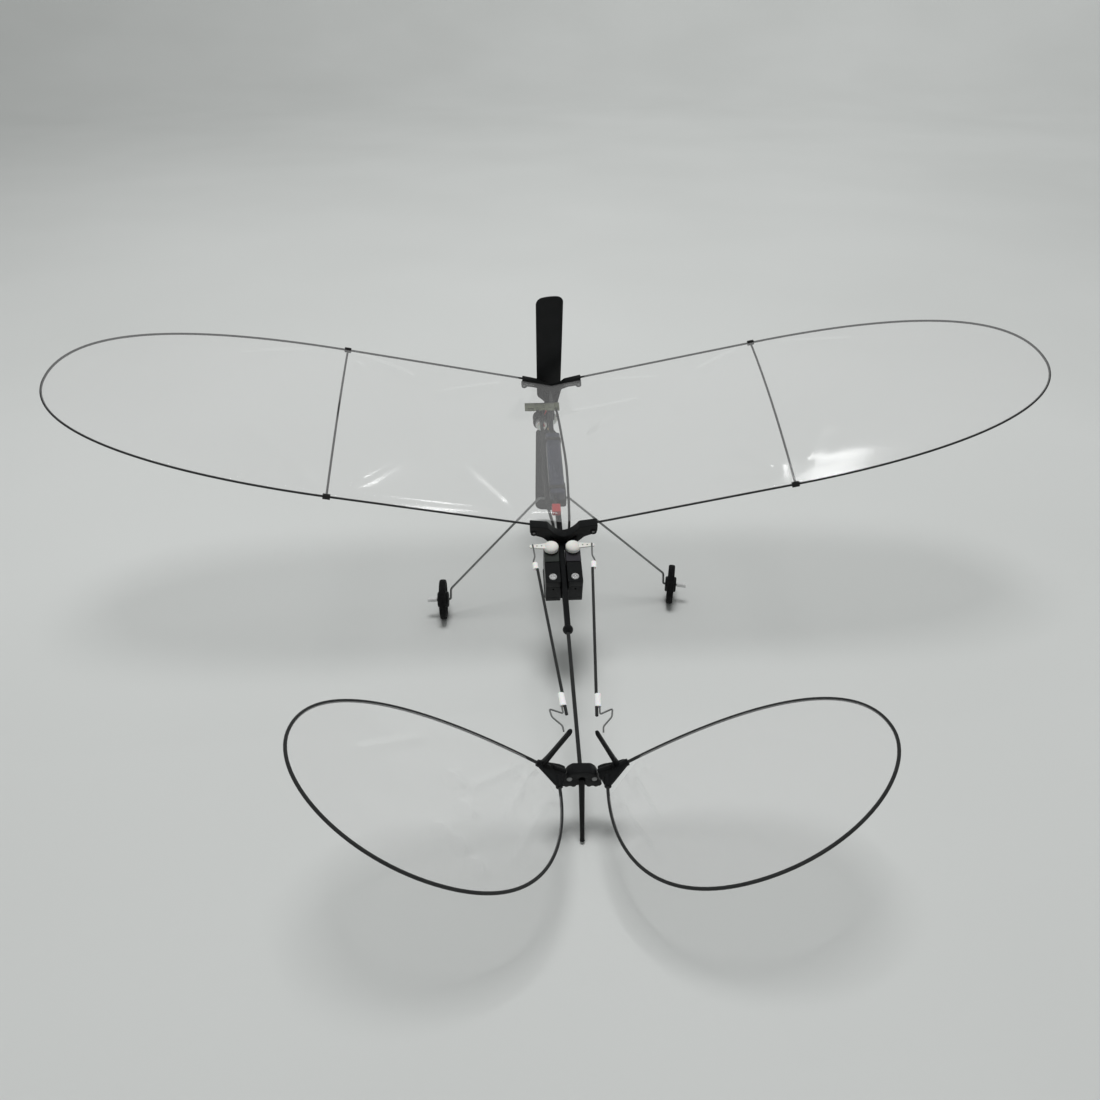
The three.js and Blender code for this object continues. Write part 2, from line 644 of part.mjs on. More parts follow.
function roundedBar(halfWidth, bottom, top, corner) {
  const shape = new THREE.Shape();
  shape.moveTo(-halfWidth + corner, bottom);
  shape.lineTo(halfWidth - corner, bottom);
  shape.absarc(halfWidth - corner, bottom + corner, corner, -Math.PI / 2, 0);
  shape.absarc(halfWidth - corner, top - corner, corner, 0, Math.PI / 2);
  shape.absarc(-halfWidth + corner, top - corner, corner, Math.PI / 2, Math.PI);
  shape.absarc(-halfWidth + corner, bottom + corner, corner, Math.PI, 1.5 * Math.PI);
  return shape;
}

function buildElectrics() {
  const cell = plateAlongY(roundedBar(battery.halfWidth, battery.bottom, battery.top, 1.2), battery.rear, battery.front);
  addPiece(onSpine, 'battery', cell, colours.foil, 0.35, 0.3);
  const receiver = box([board.left, board.rear, board.bottom], [board.right, board.front, board.top]);
  addPiece(onSpine, 'receiver_board', receiver, colours.board, 0.6);
  const batteryLead = bentRoute([
    vec(-1.2, battery.rear - seatGap, 5.4), vec(-1.2, 67, 5.4), vec(-5, 67, 6), vec(-5, 90, 5.6),
    vec(-5, 128, 4.4), vec(-7, board.rear - seatGap, 3.6),
  ], 1.6, 3);
  addPiece(onSpine, 'battery_lead', rodThrough(batteryLead, 0.5, 6), colours.red, 0.5);
  for (const { name, sign } of sides) {
    const servoLead = bentRoute([
      vec(sign * 3.2, servo.front + seatGap, -4), vec(sign * 3.6, 54, -4), vec(sign * 4.9, 62, -2.6),
      vec(sign * 5.4, 74, 0.4), vec(sign * 5.8, 98, 2), vec(sign * 3.9, board.rear - 5, 3.4),
      vec(sign * 3.2, board.rear - seatGap, 3.6),
    ], 2, 2);
    addPiece(onSpine, `${name}_servo_lead`, rodThrough(servoLead, 0.5, 6), colours.red, 0.5);
  }
}

// ---------------------------------------------------------------- servos and pushrods

const hornHeight = { bottom: 6.3, top: 7.4 };
const servoArmTip = (sign) => spinePoint(sign * (servo.x + servo.arm), servo.shaft, hornHeight.top + 0.7);
const tailHornTip = ({ name, sign }) => tailPoint(sign, tail.hornU[name], tail.hingeV, tail.hornLength - 1);

function buildServo({ name, sign }) {
  const [x0, x1] = [sign * servo.x - servo.width / 2, sign * servo.x + servo.width / 2];
  const coverRear = 34;
  const body = box([x0, servo.rear, servo.bottom], [x1, servo.front, servo.top - 1.9]);
  const deck = box([x0, servo.rear, servo.top - 2.2], [x1, coverRear - seatGap, servo.top]);
  addPiece(onSpine, `${name}_servo_case`, join(body, deck), colours.moulding, 0.4);
  const cover = box([x0, coverRear, servo.top - 1.6], [x1, servo.front, servo.top + 0.3]);
  const spline = bar(vec(sign * servo.x, servo.shaft, servo.top), vec(sign * servo.x, servo.shaft, servo.top + 0.6), 2.1, 2.1, 16);
  addPiece(onSpine, `${name}_servo_lid`, join(cover, spline), colours.lid, 0.4);

  const hub = turned([[0, 0], [3, 0], [3, 1.6], [2.2, 2.7], [0, 3.1]], 20);
  hub.rotateX(Math.PI / 2).translate(sign * servo.x, servo.shaft, servo.top + 0.9);
  const armTipX = sign * (servo.x + servo.arm);
  const arm = loft([[2, 1.5], [7, 1.1], [servo.arm + 1, 0.9]].map(([reach, half]) => {
    const x = sign * (servo.x + reach);
    return [
      vec(x, servo.shaft - half, hornHeight.bottom), vec(x, servo.shaft + half, hornHeight.bottom),
      vec(x, servo.shaft + half, hornHeight.top), vec(x, servo.shaft - half, hornHeight.top),
    ];
  }));
  const eye = bar(vec(armTipX, servo.shaft, 0), vec(armTipX, servo.shaft, 12), 0.35, 0.35, 8);
  addPiece(onSpine, `${name}_servo_horn`, cut(join(hub, arm), eye), colours.white, 0.45);
}

// A pushrod runs straight from the servo arm to the tail horn. Distances are along that line.
function buildPushrod({ name, sign }) {
  const front = servoArmTip(sign);
  const rear = tailHornTip({ name, sign });
  const line = rear.clone().sub(front);
  const length = line.length();
  const back = line.normalize();
  const outward = vec(sign, 0, 0).addScaledVector(back, -sign * back.x).normalize();
  const at = (distance, offset = 0) => front.clone().addScaledVector(back, distance).addScaledVector(outward, offset);
  const sleeveFaces = 10;
  const rodStart = 14.2;
  const rodEnd = length - 7.6;
  const wireSide = 1.15; // the wires lie beside the rod, inside the sleeves
  const hornSide = 1.8; // and the rear one ends beside the horn

  const frontWire = bentRoute([at(0.2), at(rodStart - 6), at(rodStart - 3, wireSide), at(rodStart + 3, wireSide)], 1.2, 3);
  addPiece(aeroplane, `${name}_pushrod_front_wire`, rodThrough(frontWire, wireRadius, 6), colours.wire, 0.3, 0.8);
  addPiece(aeroplane, `${name}_pushrod`, bar(at(rodStart), at(rodEnd), pushrodRadius, pushrodRadius, 8), colours.carbon, 0.35);

  const rearWire = bentRoute([
    at(rodEnd - 10.4, wireSide), at(rodEnd - 0.9, wireSide), at(rodEnd - 3.4, 5.8), at(rodEnd + 0.2, 5.4),
    at(rodEnd + 4.6, hornSide), at(length - 0.4, hornSide),
  ], 0.9, 3);
  addPiece(aeroplane, `${name}_pushrod_rear_wire`, rodThrough(rearWire, wireRadius, 6), colours.wire, 0.3, 0.8);

  for (const [end, from, to] of [['front', rodStart - 1.8, rodStart + 2.2], ['rear', rodEnd - 10, rodEnd - 4]]) {
    const middle = wireSide / 2;
    const shell = loft([from, to].map((distance) => {
      const ring = [];
      const up = back.clone().cross(outward);
      for (let i = 0; i < sleeveFaces; i += 1) {
        const angle = (2 * Math.PI * i) / sleeveFaces;
        ring.push(at(distance, middle + 1.55 * Math.cos(angle)).addScaledVector(up, 1.05 * Math.sin(angle)));
      }
      return ring;
    }));
    const grip = (offset, radius) => bar(at(from - 3, offset), at(to + 3, offset), radius, radius, 10);
    addPiece(aeroplane, `${name}_pushrod_${end}_sleeve`,
      cut(shell, grip(0, pushrodRadius + turnGap), grip(wireSide, wireRadius + turnGap)), colours.white, 0.4);
  }
}

// ---------------------------------------------------------------- landing gear

const clamp = { rear: 76.5, front: 87, halfWidth: 4.6, bottom: -5.2, top: 1.2 };
const legRoot = { s: 81.5, h: -3.9, x: 2.6 };
const legReach = { left: 8.4, right: 6 }; // how far each wire runs sideways before it bends down

function buildLandingGear() {
  const block = box([-clamp.halfWidth, clamp.rear, clamp.bottom], [clamp.halfWidth, clamp.front, clamp.top]);
  const channel = spineClearance(clamp.rear - 1, clamp.front + 1, 2.4);
  const open = box([-spine.halfWidth - seatGap, clamp.rear - 1, 0], [spine.halfWidth + seatGap, clamp.front + 1, 9]);
  const sockets = sides.map(({ sign }) => bar(
    vec(sign * (legRoot.x - 0.4), legRoot.s, legRoot.h), vec(sign * 12, legRoot.s, legRoot.h), legRadius + turnGap,
  ));
  addPiece(onSpine, 'gear_clamp', cut(block, channel, open, ...sockets), colours.moulding, 0.5);

  for (const { name, sign } of sides) {
    const y = wheel.y + sign * wheel.stagger;
    const toe = new THREE.Matrix4().makeRotationZ(-sign * radians(wheel.toe[name]));
    const middle = vec((sign * wheel.track) / 2, y, wheel.radius);
    const onAxle = (outward, up = 0) => vec(sign * outward, 0, up).applyMatrix4(toe).add(middle);
    const leg = bentRoute([
      spinePoint(sign * legRoot.x, legRoot.s, legRoot.h),
      spinePoint(sign * legReach[name], legRoot.s, legRoot.h),
      onAxle(-4.2, 6.4),
      onAxle(-3.8),
      onAxle(7),
    ], 0.9);
    addPiece(aeroplane, `${name}_gear_leg`, rodThrough(leg, legRadius), colours.wire, 0.3, 0.8);

    const place = (geometry) => geometry.rotateZ(-Math.PI / 2).applyMatrix4(toe)
      .translate(middle.x, middle.y, middle.z);
    const half = wheel.hubWidth / 2;
    const bore = legRadius + turnGap;
    const hub = turned([
      [bore, -half], [wheel.hubRadius - 0.5, -half], [wheel.hubRadius, -half + 0.5],
      [wheel.hubRadius, -0.6], [8, -0.6], [8, -1.1], [8.5, -1.1], [8.5, 1.1], [8, 1.1], [8, 0.6],
      [wheel.hubRadius, 0.6], [wheel.hubRadius, half - 0.5], [wheel.hubRadius - 0.5, half],
      [bore, half], [bore, -half],
    ], 20);
    const holes = [];
    for (let i = 0; i < 6; i += 1) {
      const angle = (2 * Math.PI * i) / 6;
      const hole = vec(6 * Math.cos(angle), 0, 6 * Math.sin(angle));
      holes.push(bar(hole.clone().setY(-3), hole.clone().setY(3), 1.3, 1.3, 8));
    }
    addPiece(aeroplane, `${name}_wheel_hub`, place(cut(hub, ...holes)), colours.moulding, 0.5);
    const tyre = turned([[8.7, -1.2], [9.6, -1.5], [10, -0.7], [10, 0.7], [9.6, 1.5], [8.7, 1.2], [8.7, -1.2]], 24);
    addPiece(aeroplane, `${name}_wheel_tyre`, place(tyre), colours.rubber, 0.8);
    const sleeve = turned([[bore, 0], [1.2, 0], [1.2, 4.6], [bore, 4.6], [bore, 0]], 14);
    sleeve.translate(0, sign * (half + 0.4) + (sign < 0 ? -4.6 : 0), 0);
    addPiece(aeroplane, `${name}_wheel_retainer`, place(sleeve), colours.clear, 0.3);
  }
}

// ---------------------------------------------------------------- tail

const hubBlock = { rear: -80.3, front: -75.3, bottom: -1.9, top: 5.4 };
const tailRoll = new THREE.Matrix4()
  .makeTranslation(tail.hubX, tail.hubY, tail.hubZ)
  .multiply(new THREE.Matrix4().makeRotationY(radians(-tail.roll)));
const onHub = frameGroup(tailRoll);

// The hub's flanks stand square to each surface's hinge line.
function flankX(z) {
  const rise = radians(tail.dihedral);
  return (tail.hubSide - z * Math.sin(rise)) / Math.cos(rise);
}

function buildTailHub() {
  const { bottom, top } = hubBlock;
  const half = [[1.4, bottom + 0.6], [2.6, bottom], [flankX(bottom) - 1.2, bottom], [flankX(bottom + 1), bottom + 1],
    [flankX(top - 1.4), top - 1.4], [flankX(top) - 1, top]];
  const shape = outline([...half, ...half.map(([x, z]) => [-x, z]).reverse()]);
  const block = plateAlongY(shape, hubBlock.rear - tail.hubY, hubBlock.front - tail.hubY);
  const toHub = tailRoll.clone().invert();
  const boomBore = bar(
    boomRear.clone().applyMatrix4(toHub).add(vec(0, -seatGap, -0.1)),
    boomFront.clone().applyMatrix4(toHub), boomRadius + seatGap,
  );
  const pinBores = sides.map(({ sign }) => {
    const onPanel = (u) => tailPoint(sign, u, tail.hingeV).applyMatrix4(toHub);
    return bar(onPanel(1.8), onPanel(9), wireRadius + turnGap, wireRadius + turnGap, 10);
  });
  const skidSocket = bar(vec(0, -4.6, 2.4), vec(0, -1.8, 0.4), 1.5);
  addPiece(onHub, 'tail_hub', cut(block, boomBore, skidSocket, ...pinBores), colours.moulding, 0.4);
}

function buildSkid() {
  const root = vec(tail.hubX, hubBlock.rear - 0.5, tail.hubZ + 1.6);
  const heel = vec(tail.hubX, skidTip.y, 0.9);
  const toe = vec(tail.hubX, skidTip.y, 0);
  const stem = bar(root, heel, 1, skidTip.radius, 12);
  const foot = bar(toe, heel.clone().setZ(1.8), skidTip.radius + 0.3, skidTip.radius, 12);
  const hubSpace = box([-4, hubBlock.rear - seatGap, 0], [4, hubBlock.front, 40]);
  addPiece(aeroplane, 'tail_skid', cut(join(stem, foot), hubSpace), colours.moulding, 0.4);
}

// The outline of one tail surface in u and v, from the front socket round to the rear one.
const polar = (angle, length) => new THREE.Vector2(Math.cos(angle), Math.sin(angle)).multiplyScalar(length);
const tailCorner = {
  front: new THREE.Vector2(17.6, -1.3), tip: new THREE.Vector2(107.6, -24.5),
  rear: new THREE.Vector2(48.4, -60.9), root: new THREE.Vector2(9.7, -7.4),
};
const tailEdges = {
  leading: new THREE.CubicBezierCurve(
    tailCorner.front, tailCorner.front.clone().add(polar(0.16, 53)),
    tailCorner.tip.clone().sub(polar(-1.49, 24.5)), tailCorner.tip,
  ),
  outer: new THREE.CubicBezierCurve(
    tailCorner.tip, tailCorner.tip.clone().add(polar(-1.49, 19.2)),
    tailCorner.rear.clone().sub(polar(3.065, 32.6)), tailCorner.rear,
  ),
  inner: new THREE.CubicBezierCurve(
    tailCorner.rear, tailCorner.rear.clone().add(polar(3.065, 33.4)),
    tailCorner.root.clone().add(polar(-1.697, 25.3)), tailCorner.root,
  ),
};

function buildTailSurface({ name, sign }) {
  const onPanel = frameGroup(tailFrame(sign));
  const flat = (u, v, lift = 0) => vec(sign * u, v, lift);
  const rodEnds = { front: [14.4, -1.8], root: [10.1, -4.6] };
  const rim = [...tailEdges.leading.getPoints(11), ...tailEdges.outer.getPoints(9).slice(1),
    ...tailEdges.inner.getPoints(10).slice(1)];
  const loop = [flat(...rodEnds.front), ...rim.map((p) => flat(p.x, p.y)), flat(...rodEnds.root)];
  addPiece(onPanel, `${name}_tail_loop`, rodThrough(loop, tailRodRadius), colours.carbon, 0.35);

  const trailing = (share) => (share < 0.5
    ? tailEdges.inner.getPoint(1 - 2 * share) : tailEdges.outer.getPoint(2 - 2 * share));
  const film = sheet((column, row, lift) => {
    const share = THREE.MathUtils.lerp(0.06, 0.985, column);
    const front = tailEdges.leading.getPoint(share);
    const point = front.lerp(trailing(share), row);
    return flat(point.x, point.y, filmLift + lift);
  }, 13, 4, filmThickness);
  addPiece(onPanel, `${name}_tail_film`, film, colours.film, 0.15);

  const plateShape = outline([
    [7, 1.5], [9.5, 1.6], [14, 0.6], [17.4, 0.5], [18.6, -0.6], [18.4, -2.2], [11.4, -8], [9.6, -8.9],
    [8.5, -8], [7.4, -4.2], [7, -3.8],
  ].map(([u, v]) => [sign * u, v]));
  const plate = new THREE.ExtrudeGeometry(plateShape, { depth: 1.3, bevelEnabled: false }).translate(0, 0, -0.65);
  const sockets = [
    bar(flat(13.6, -1.9), flat(18.8, -1.1), wrapRadius),
    bar(flat(10.2, -4), flat(9.6, -8.9), wrapRadius),
  ];
  const knuckle = bar(flat(7, tail.hingeV), flat(12.4, tail.hingeV), 1.3);
  const v = tail.hingeV;
  const hornU = tail.hornU[name];
  const horn = loft([[0, 1.5, 1], [4, 1.1, 0.8], [tail.hornLength - 1.5, 0.95, 0.65],
    [tail.hornLength - 0.4, 0.8, 0.6], [tail.hornLength, 0.4, 0.4]].map(([lift, halfV, halfU]) => [
    flat(hornU - halfU, v - halfV, lift), flat(hornU + halfU, v - halfV, lift),
    flat(hornU + halfU, v + halfV, lift), flat(hornU - halfU, v + halfV, lift),
  ]));
  const bores = [
    bar(flat(6, v), flat(12.8, v), wireRadius + turnGap, wireRadius + turnGap, 10),
    rodThrough([flat(...rodEnds.front).add(vec(-sign * 0.4, 0, 0)), flat(17.6, -1.3), flat(22, -0.6)], tailRodRadius + 0.2),
    rodThrough([flat(10.1, -4.3), flat(9.7, -7.4), flat(9.15, -11.4)], tailRodRadius + 0.2),
  ];
  addPiece(onPanel, `${name}_tail_bracket`, cut(join(plate, ...sockets, knuckle, horn), ...bores), colours.moulding, 0.4);
  addPiece(onPanel, `${name}_hinge_pin`, bar(flat(2.2, v), flat(12.2, v), wireRadius, wireRadius, 10), colours.wire, 0.3, 0.8);
}

// ---------------------------------------------------------------- assembly

buildSpine();
buildBoom();
buildWingBrackets();
buildCentreFilm();
buildPropeller();
buildGears();
buildMotor();
buildGearbox();
buildElectrics();
buildLandingGear();
buildTailHub();
buildSkid();
for (const side of sides) {
  buildWingLoop(side);
  buildRib(side);
  buildWingFilm(side);
  buildServo(side);
  buildPushrod(side);
  buildTailSurface(side);
}

export default aeroplane;
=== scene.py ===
"""An ultralight indoor aeroplane: clear film on bent carbon rod, with the looks built in mesh code.

Lengths are in millimetres, in the frame of the CAD model before it is centred, until piece() turns
them into metres. X points to the right wing tip, Y to the nose and Z up.
"""

import json
from math import atan2, copysign, cos, exp, hypot, pi, radians, sin, sqrt

import bmesh
import bpy
from mathutils import Matrix, Vector, noise


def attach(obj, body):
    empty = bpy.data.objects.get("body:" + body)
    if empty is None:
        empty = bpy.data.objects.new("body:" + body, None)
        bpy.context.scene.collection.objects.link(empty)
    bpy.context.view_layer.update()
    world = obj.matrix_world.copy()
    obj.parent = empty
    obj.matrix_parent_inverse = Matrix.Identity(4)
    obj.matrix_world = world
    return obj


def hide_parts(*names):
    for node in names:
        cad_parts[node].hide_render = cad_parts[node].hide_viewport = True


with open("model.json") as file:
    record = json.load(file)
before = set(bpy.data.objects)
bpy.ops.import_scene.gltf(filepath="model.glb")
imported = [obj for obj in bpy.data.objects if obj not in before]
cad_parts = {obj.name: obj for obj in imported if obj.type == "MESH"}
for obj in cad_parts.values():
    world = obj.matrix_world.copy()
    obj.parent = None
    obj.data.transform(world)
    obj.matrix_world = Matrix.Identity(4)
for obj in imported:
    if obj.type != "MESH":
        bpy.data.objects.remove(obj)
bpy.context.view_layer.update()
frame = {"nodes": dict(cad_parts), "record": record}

# ---------------------------------------------------------------- driving dimensions

MM = 0.001
LENGTH_MIDDLE_Y = 3.5
SEAT_GAP = 0.3
SIDES = (("left", -1), ("right", 1))

SPINE = {"x": -1, "tail_y": -15.4, "tail_z": 43.4, "pitch": 15.15, "length": 148.4, "half_width": 1.2}
SPINE_DEPTH = {"tail": 3.2, "servo": 4.4, "nose": 4.8}
COLLAR_RADIUS = 2.2
BOOM_RADIUS = 0.8
WING_ROD_RADIUS = 0.5
TAIL_ROD_RADIUS = 0.6
PUSHROD_RADIUS = 0.6
WIRE_RADIUS = 0.4
LEG_RADIUS = 0.55
WRAP_RADIUS = 1.3
WING_FILM_LIFT = 0.55  # middle of a rod to the film that lies on it
TAIL_FILM_LIFT = 0.4
TAIL_FILM_INSET = 0.55  # middle of a rod to the rim of the film
FILM_THICKNESS = 0.04

WING = {
    "front_y": 123.6, "front_z": 95.2, "rear_y": 28.8, "rear_z": 65.4, "dihedral": 11.35, "sweep": -0.009,
    "rib_u": 103.5, "tip_u": 229.4, "tip_y": 70.8, "front_bulge": 44, "rear_bulge": 36,
    "handle_front": 51.5, "handle_rear": 52.9, "camber": 4,
}
LOOP_START = 8
TAIL = {
    "hub_x": -0.5, "hub_y": -77, "hub_z": 23.3, "roll": -2.6, "dihedral": 27.3, "incidence": 3, "hinge_v": -1,
    "hub_side": 6.4, "horn_u": {"left": 16.4, "right": 14.6}, "horn_length": 20.5,
}
PROPELLER = {"radius": 67, "chord": 14, "tip_corner": 3.4, "down_thrust": 6.75}
PROP_HUB = {"s": 152.6, "h": -10.2, "radius": 3.2}
MOTOR = {"radius": 3, "length": 9, "bearing": 128, "distance": 5.745, "front": -8}
SERVO = {"x": 4.8, "width": 6.6, "rear": 22.5, "front": 44.6, "top": 4, "bottom": -9, "shaft": 41, "arm": 8.3}
SERVO_COVER_REAR = 34
SERVO_TRAY = {"half_width": 8.4, "rear": 25, "front": 42, "thickness": 1.2}
HORN_BOTTOM, HORN_TOP = 6.3, 7.4
WHEEL = {"track": 115.9, "y": 57.6, "stagger": 3.4, "radius": 10, "hub_radius": 3.9, "hub_width": 5.6,
         "toe": {"left": 0, "right": 12}}
CLAMP = {"rear": 76.5, "front": 87, "half_width": 4.6, "bottom": -5.2, "top": 1.2}
LEG_ROOT = {"s": 81.5, "h": -3.9, "x": 2.6}
LEG_REACH = {"left": 8.4, "right": 6}
BATTERY = {"rear": 73, "front": 116, "half_width": 3.6, "bottom": 2.9, "top": 8}
BOARD = {"rear": 138.6, "front": 144.6, "left": -13, "right": 5, "bottom": 2.9, "top": 4.3}
HUB_BLOCK = {"rear": -80.3, "front": -75.3, "bottom": -1.9, "top": 5.4}
SKID_TIP = {"y": -88.4, "radius": 0.8}


# ---------------------------------------------------------------- frames

def axes(x_axis, y_axis, z_axis):
    """The turn that sends X, Y and Z to these directions."""
    return Matrix((x_axis, y_axis, z_axis)).transposed().to_4x4()


SPINE_FRAME = (Matrix.Translation((SPINE["x"], SPINE["tail_y"], SPINE["tail_z"]))
               @ Matrix.Rotation(radians(SPINE["pitch"]), 4, "X"))
SIDE_FRAME = SPINE_FRAME @ axes((0, 1, 0), (0, 0, 1), (1, 0, 0))  # s, h, x
CROSS_FRAME = SPINE_FRAME @ axes((1, 0, 0), (0, 0, 1), (0, 1, 0))  # x, h, s
POWER_FRAME = (SPINE_FRAME @ Matrix.Translation((0, PROP_HUB["s"], PROP_HUB["h"]))
               @ Matrix.Rotation(radians(-PROPELLER["down_thrust"]), 4, "X"))
ALONG_Y = axes((0, 0, 1), (1, 0, 0), (0, 1, 0))  # a lathe's axis, turned to point along +Y
TAIL_ROLL = (Matrix.Translation((TAIL["hub_x"], TAIL["hub_y"], TAIL["hub_z"]))
             @ Matrix.Rotation(radians(-TAIL["roll"]), 4, "Y"))


def spine_point(x, s, h):
    """A point on the stick's own axes: s along it from its tail end, h up from its middle."""
    return SPINE_FRAME @ Vector((x, s, h))


def spine_axes(x, s, h):
    """The stick's own axes, moved to one of its points."""
    return Matrix.Translation(spine_point(x, s, h)) @ SPINE_FRAME.to_3x3().to_4x4()


def wing_point(sign, u, y, lift=0):
    """A point on one wing panel: u out from the middle, y along the chord, lift above the rods."""
    across = radians(WING["dihedral"])
    share = (y - WING["rear_y"]) / (WING["front_y"] - WING["rear_y"])
    z = WING["rear_z"] + (WING["front_z"] - WING["rear_z"]) * share
    pitch = atan2(WING["front_z"] - WING["rear_z"], WING["front_y"] - WING["rear_y"])
    normal = Vector((-sign * sin(across), -sin(pitch), cos(across))).normalized()
    return Vector((sign * u * cos(across), y, z + u * sin(across))) + normal * lift


def tail_frame(sign):
    """One tail surface's axes: X along its span, Y forward in its plane, Z out of it."""
    rise = radians(TAIL["dihedral"])
    nose = radians(TAIL["incidence"])
    across = Vector((cos(rise), 0, sign * sin(rise)))
    forward = Vector((-sign * sin(nose) * sin(rise), cos(nose),
                      sin(nose) * cos(rise)))
    return TAIL_ROLL @ axes(across, forward, across.cross(forward))


def tail_point(sign, u, v, lift=0):
    return tail_frame(sign) @ Vector((sign * u, v, lift))


# ---------------------------------------------------------------- curves and outlines

def bezier(a, b, c, d, steps):
    """Points on a cubic curve, its two ends included."""
    points = []
    for i in range(steps + 1):
        t = i / steps
        points.append(a * (1 - t) ** 3 + b * 3 * t * (1 - t) ** 2 + c * 3 * t * t * (1 - t) + d * t ** 3)
    return points


def bent(corners, bend):
    """A route of straight runs with each corner bent round."""
    steps = 8
    points = [corners[0]]
    for before, corner, after in zip(corners, corners[1:], corners[2:]):
        start = corner + (before - corner).normalized() * bend
        end = corner + (after - corner).normalized() * bend
        for i in range(steps + 1):
            t = i / steps
            points.append(start * (1 - t) ** 2 + corner * 2 * t * (1 - t) + end * t * t)
    return points + [corners[-1]]


def flowing(points):
    """A smooth curve through the points."""
    steps = 8
    ends = [points[0] * 2 - points[1], *points, points[-1] * 2 - points[-2]]
    made = []
    for a, b, c, d in zip(ends, ends[1:], ends[2:], ends[3:]):
        for i in range(steps):
            t = i / steps
            made.append(b + (c - a) * t / 2 + (a * 2 - b * 5 + c * 4 - d) * t * t / 2
                        + (b * 3 - a - c * 3 + d) * t ** 3 / 2)
    return made + [points[-1]]


def rounded(corners, radius, steps=5):
    """A closed outline with its corners rounded. A corner's third number is a radius of its own."""
    outline = []
    for i, corner in enumerate(corners):
        at = Vector(corner[:2])
        reach = corner[2] if len(corner) > 2 else radius
        before = Vector(corners[i - 1][:2]) - at
        after = Vector(corners[(i + 1) % len(corners)][:2]) - at
        reach = min(reach, 0.45 * before.length, 0.45 * after.length)
        start = at + before.normalized() * reach
        end = at + after.normalized() * reach
        for k in range(steps + 1):
            t = k / steps
            outline.append(start * (1 - t) ** 2 + at * 2 * t * (1 - t) + end * t * t)
    return outline


def rectangle(x0, y0, x1, y1):
    return [(x0, y0), (x1, y0), (x1, y1), (x0, y1)]


def mirror(half):
    """The other half of a symmetric outline, in the order that carries it on."""
    return [(-x, y) for x, y in reversed(half)]


def inset(outline, distance):
    """The outline moved inwards by a distance."""
    count = len(outline)
    area = sum(outline[i - 1].cross(outline[i]) for i in range(count))
    inward = 1 if area > 0 else -1
    moved = []
    for i in range(count):
        a = (outline[i] - outline[i - 1]).normalized()
        b = (outline[(i + 1) % count] - outline[i]).normalized()
        normal = Vector((-(a.y + b.y), a.x + b.x)) * inward
        length = max(normal.length, 1e-6)
        moved.append(outline[i] + normal / length * distance * min(2 / length, 2))
    return moved


# ---------------------------------------------------------------- solids

class Solid:
    """Closed shells in millimetres. Each face has a paint, the place of its material in a list."""

    def __init__(self):
        self.points, self.faces, self.paints, self.grain = [], [], [], []

    def add(self, points, faces, grain=None, paint=0):
        first = len(self.points)
        self.points += [Vector(p) for p in points]
        self.faces += [[first + i for i in face] for face in faces]
        self.paints += [paint] * len(faces)
        self.grain += grain or [Vector((0, 0, 0))] * len(points)
        return self


def circle(count):
    """The angles of a circle's points."""
    return [2 * pi * k / count for k in range(count)]


def stack(rings, grain=None, paint=0, into=None):
    """A shell through a row of rings that hold equally many points, closed at both ends."""
    count = len(rings[0])
    faces = [list(range(count)), [len(rings) * count - 1 - i for i in range(count)]]
    for i in range(len(rings) - 1):
        for j in range(count):
            a, b = i * count + j, i * count + (j + 1) % count
            faces.append([a, b, b + count, a + count])
    return (into or Solid()).add([p for ring in rings for p in ring], faces, grain, paint)


def edge_steps(edge, steps=4):
    """How far in and how far along each ring of a rounded edge lies, from the end face on."""
    turns = [pi / 2 * k / steps for k in range(steps + 1)]
    return [(edge * (1 - sin(t)), edge * (1 - cos(t))) for t in turns]


def sweep(path, radius, sides, edge=0.2, paint=0, into=None):
    """A round rod along a path, with rounded ends. The grain runs along it."""
    radii = list(radius) if hasattr(radius, "__len__") else [radius] * len(path)
    last = len(path) - 1
    tangents = [(path[min(i + 1, last)] - path[max(i - 1, 0)]).normalized() for i in range(last + 1)]
    stops = [(path[0] + tangents[0] * along, tangents[0], radii[0] - inwards)
             for inwards, along in edge_steps(edge)]
    stops += list(zip(path, tangents, radii))[1:-1]
    stops += [(path[-1] - tangents[-1] * along, tangents[-1], radii[-1] - inwards)
              for inwards, along in reversed(edge_steps(edge))]
    side = tangents[0].orthogonal().normalized()
    rings, grain, travelled, previous = [], [], 0, stops[0][0]
    for centre, tangent, size in stops:
        travelled += (centre - previous).length
        previous = centre
        side = (side - tangent * side.dot(tangent)).normalized()
        up = tangent.cross(side)
        turns = circle(sides)
        rings.append([centre + (side * cos(t) + up * sin(t)) * size for t in turns])
        grain += [Vector((cos(t), sin(t), travelled)) for t in turns]
    return stack(rings, grain, paint, into)


def bar(start, end, radius, sides=32, edge=0.05):
    return sweep([start, end], radius, sides, edge)


def lathe(profile, matrix, segments=56):
    """Turns (radius, distance) pairs round the matrix's Z: they end on the axis, or close on themselves."""
    turns = circle(segments)
    points, rows = [], []
    for radius, along in profile:
        ring = [(0, 0, along)]
        if radius > 0:
            ring = [(radius * cos(t), radius * sin(t), along) for t in turns]
        rows.append([len(points) + k for k in range(len(ring))])
        points += [matrix @ Vector(p) for p in ring]
    if profile[0][0] > 0:
        rows.append(rows[0])
    faces = []
    for low, high in zip(rows, rows[1:]):
        for k in range(segments):
            n = (k + 1) % segments
            quad = [low[k % len(low)], low[n % len(low)], high[n % len(high)], high[k % len(high)]]
            faces.append([corner for i, corner in enumerate(quad) if corner not in quad[:i]])
    return Solid().add(points, faces)


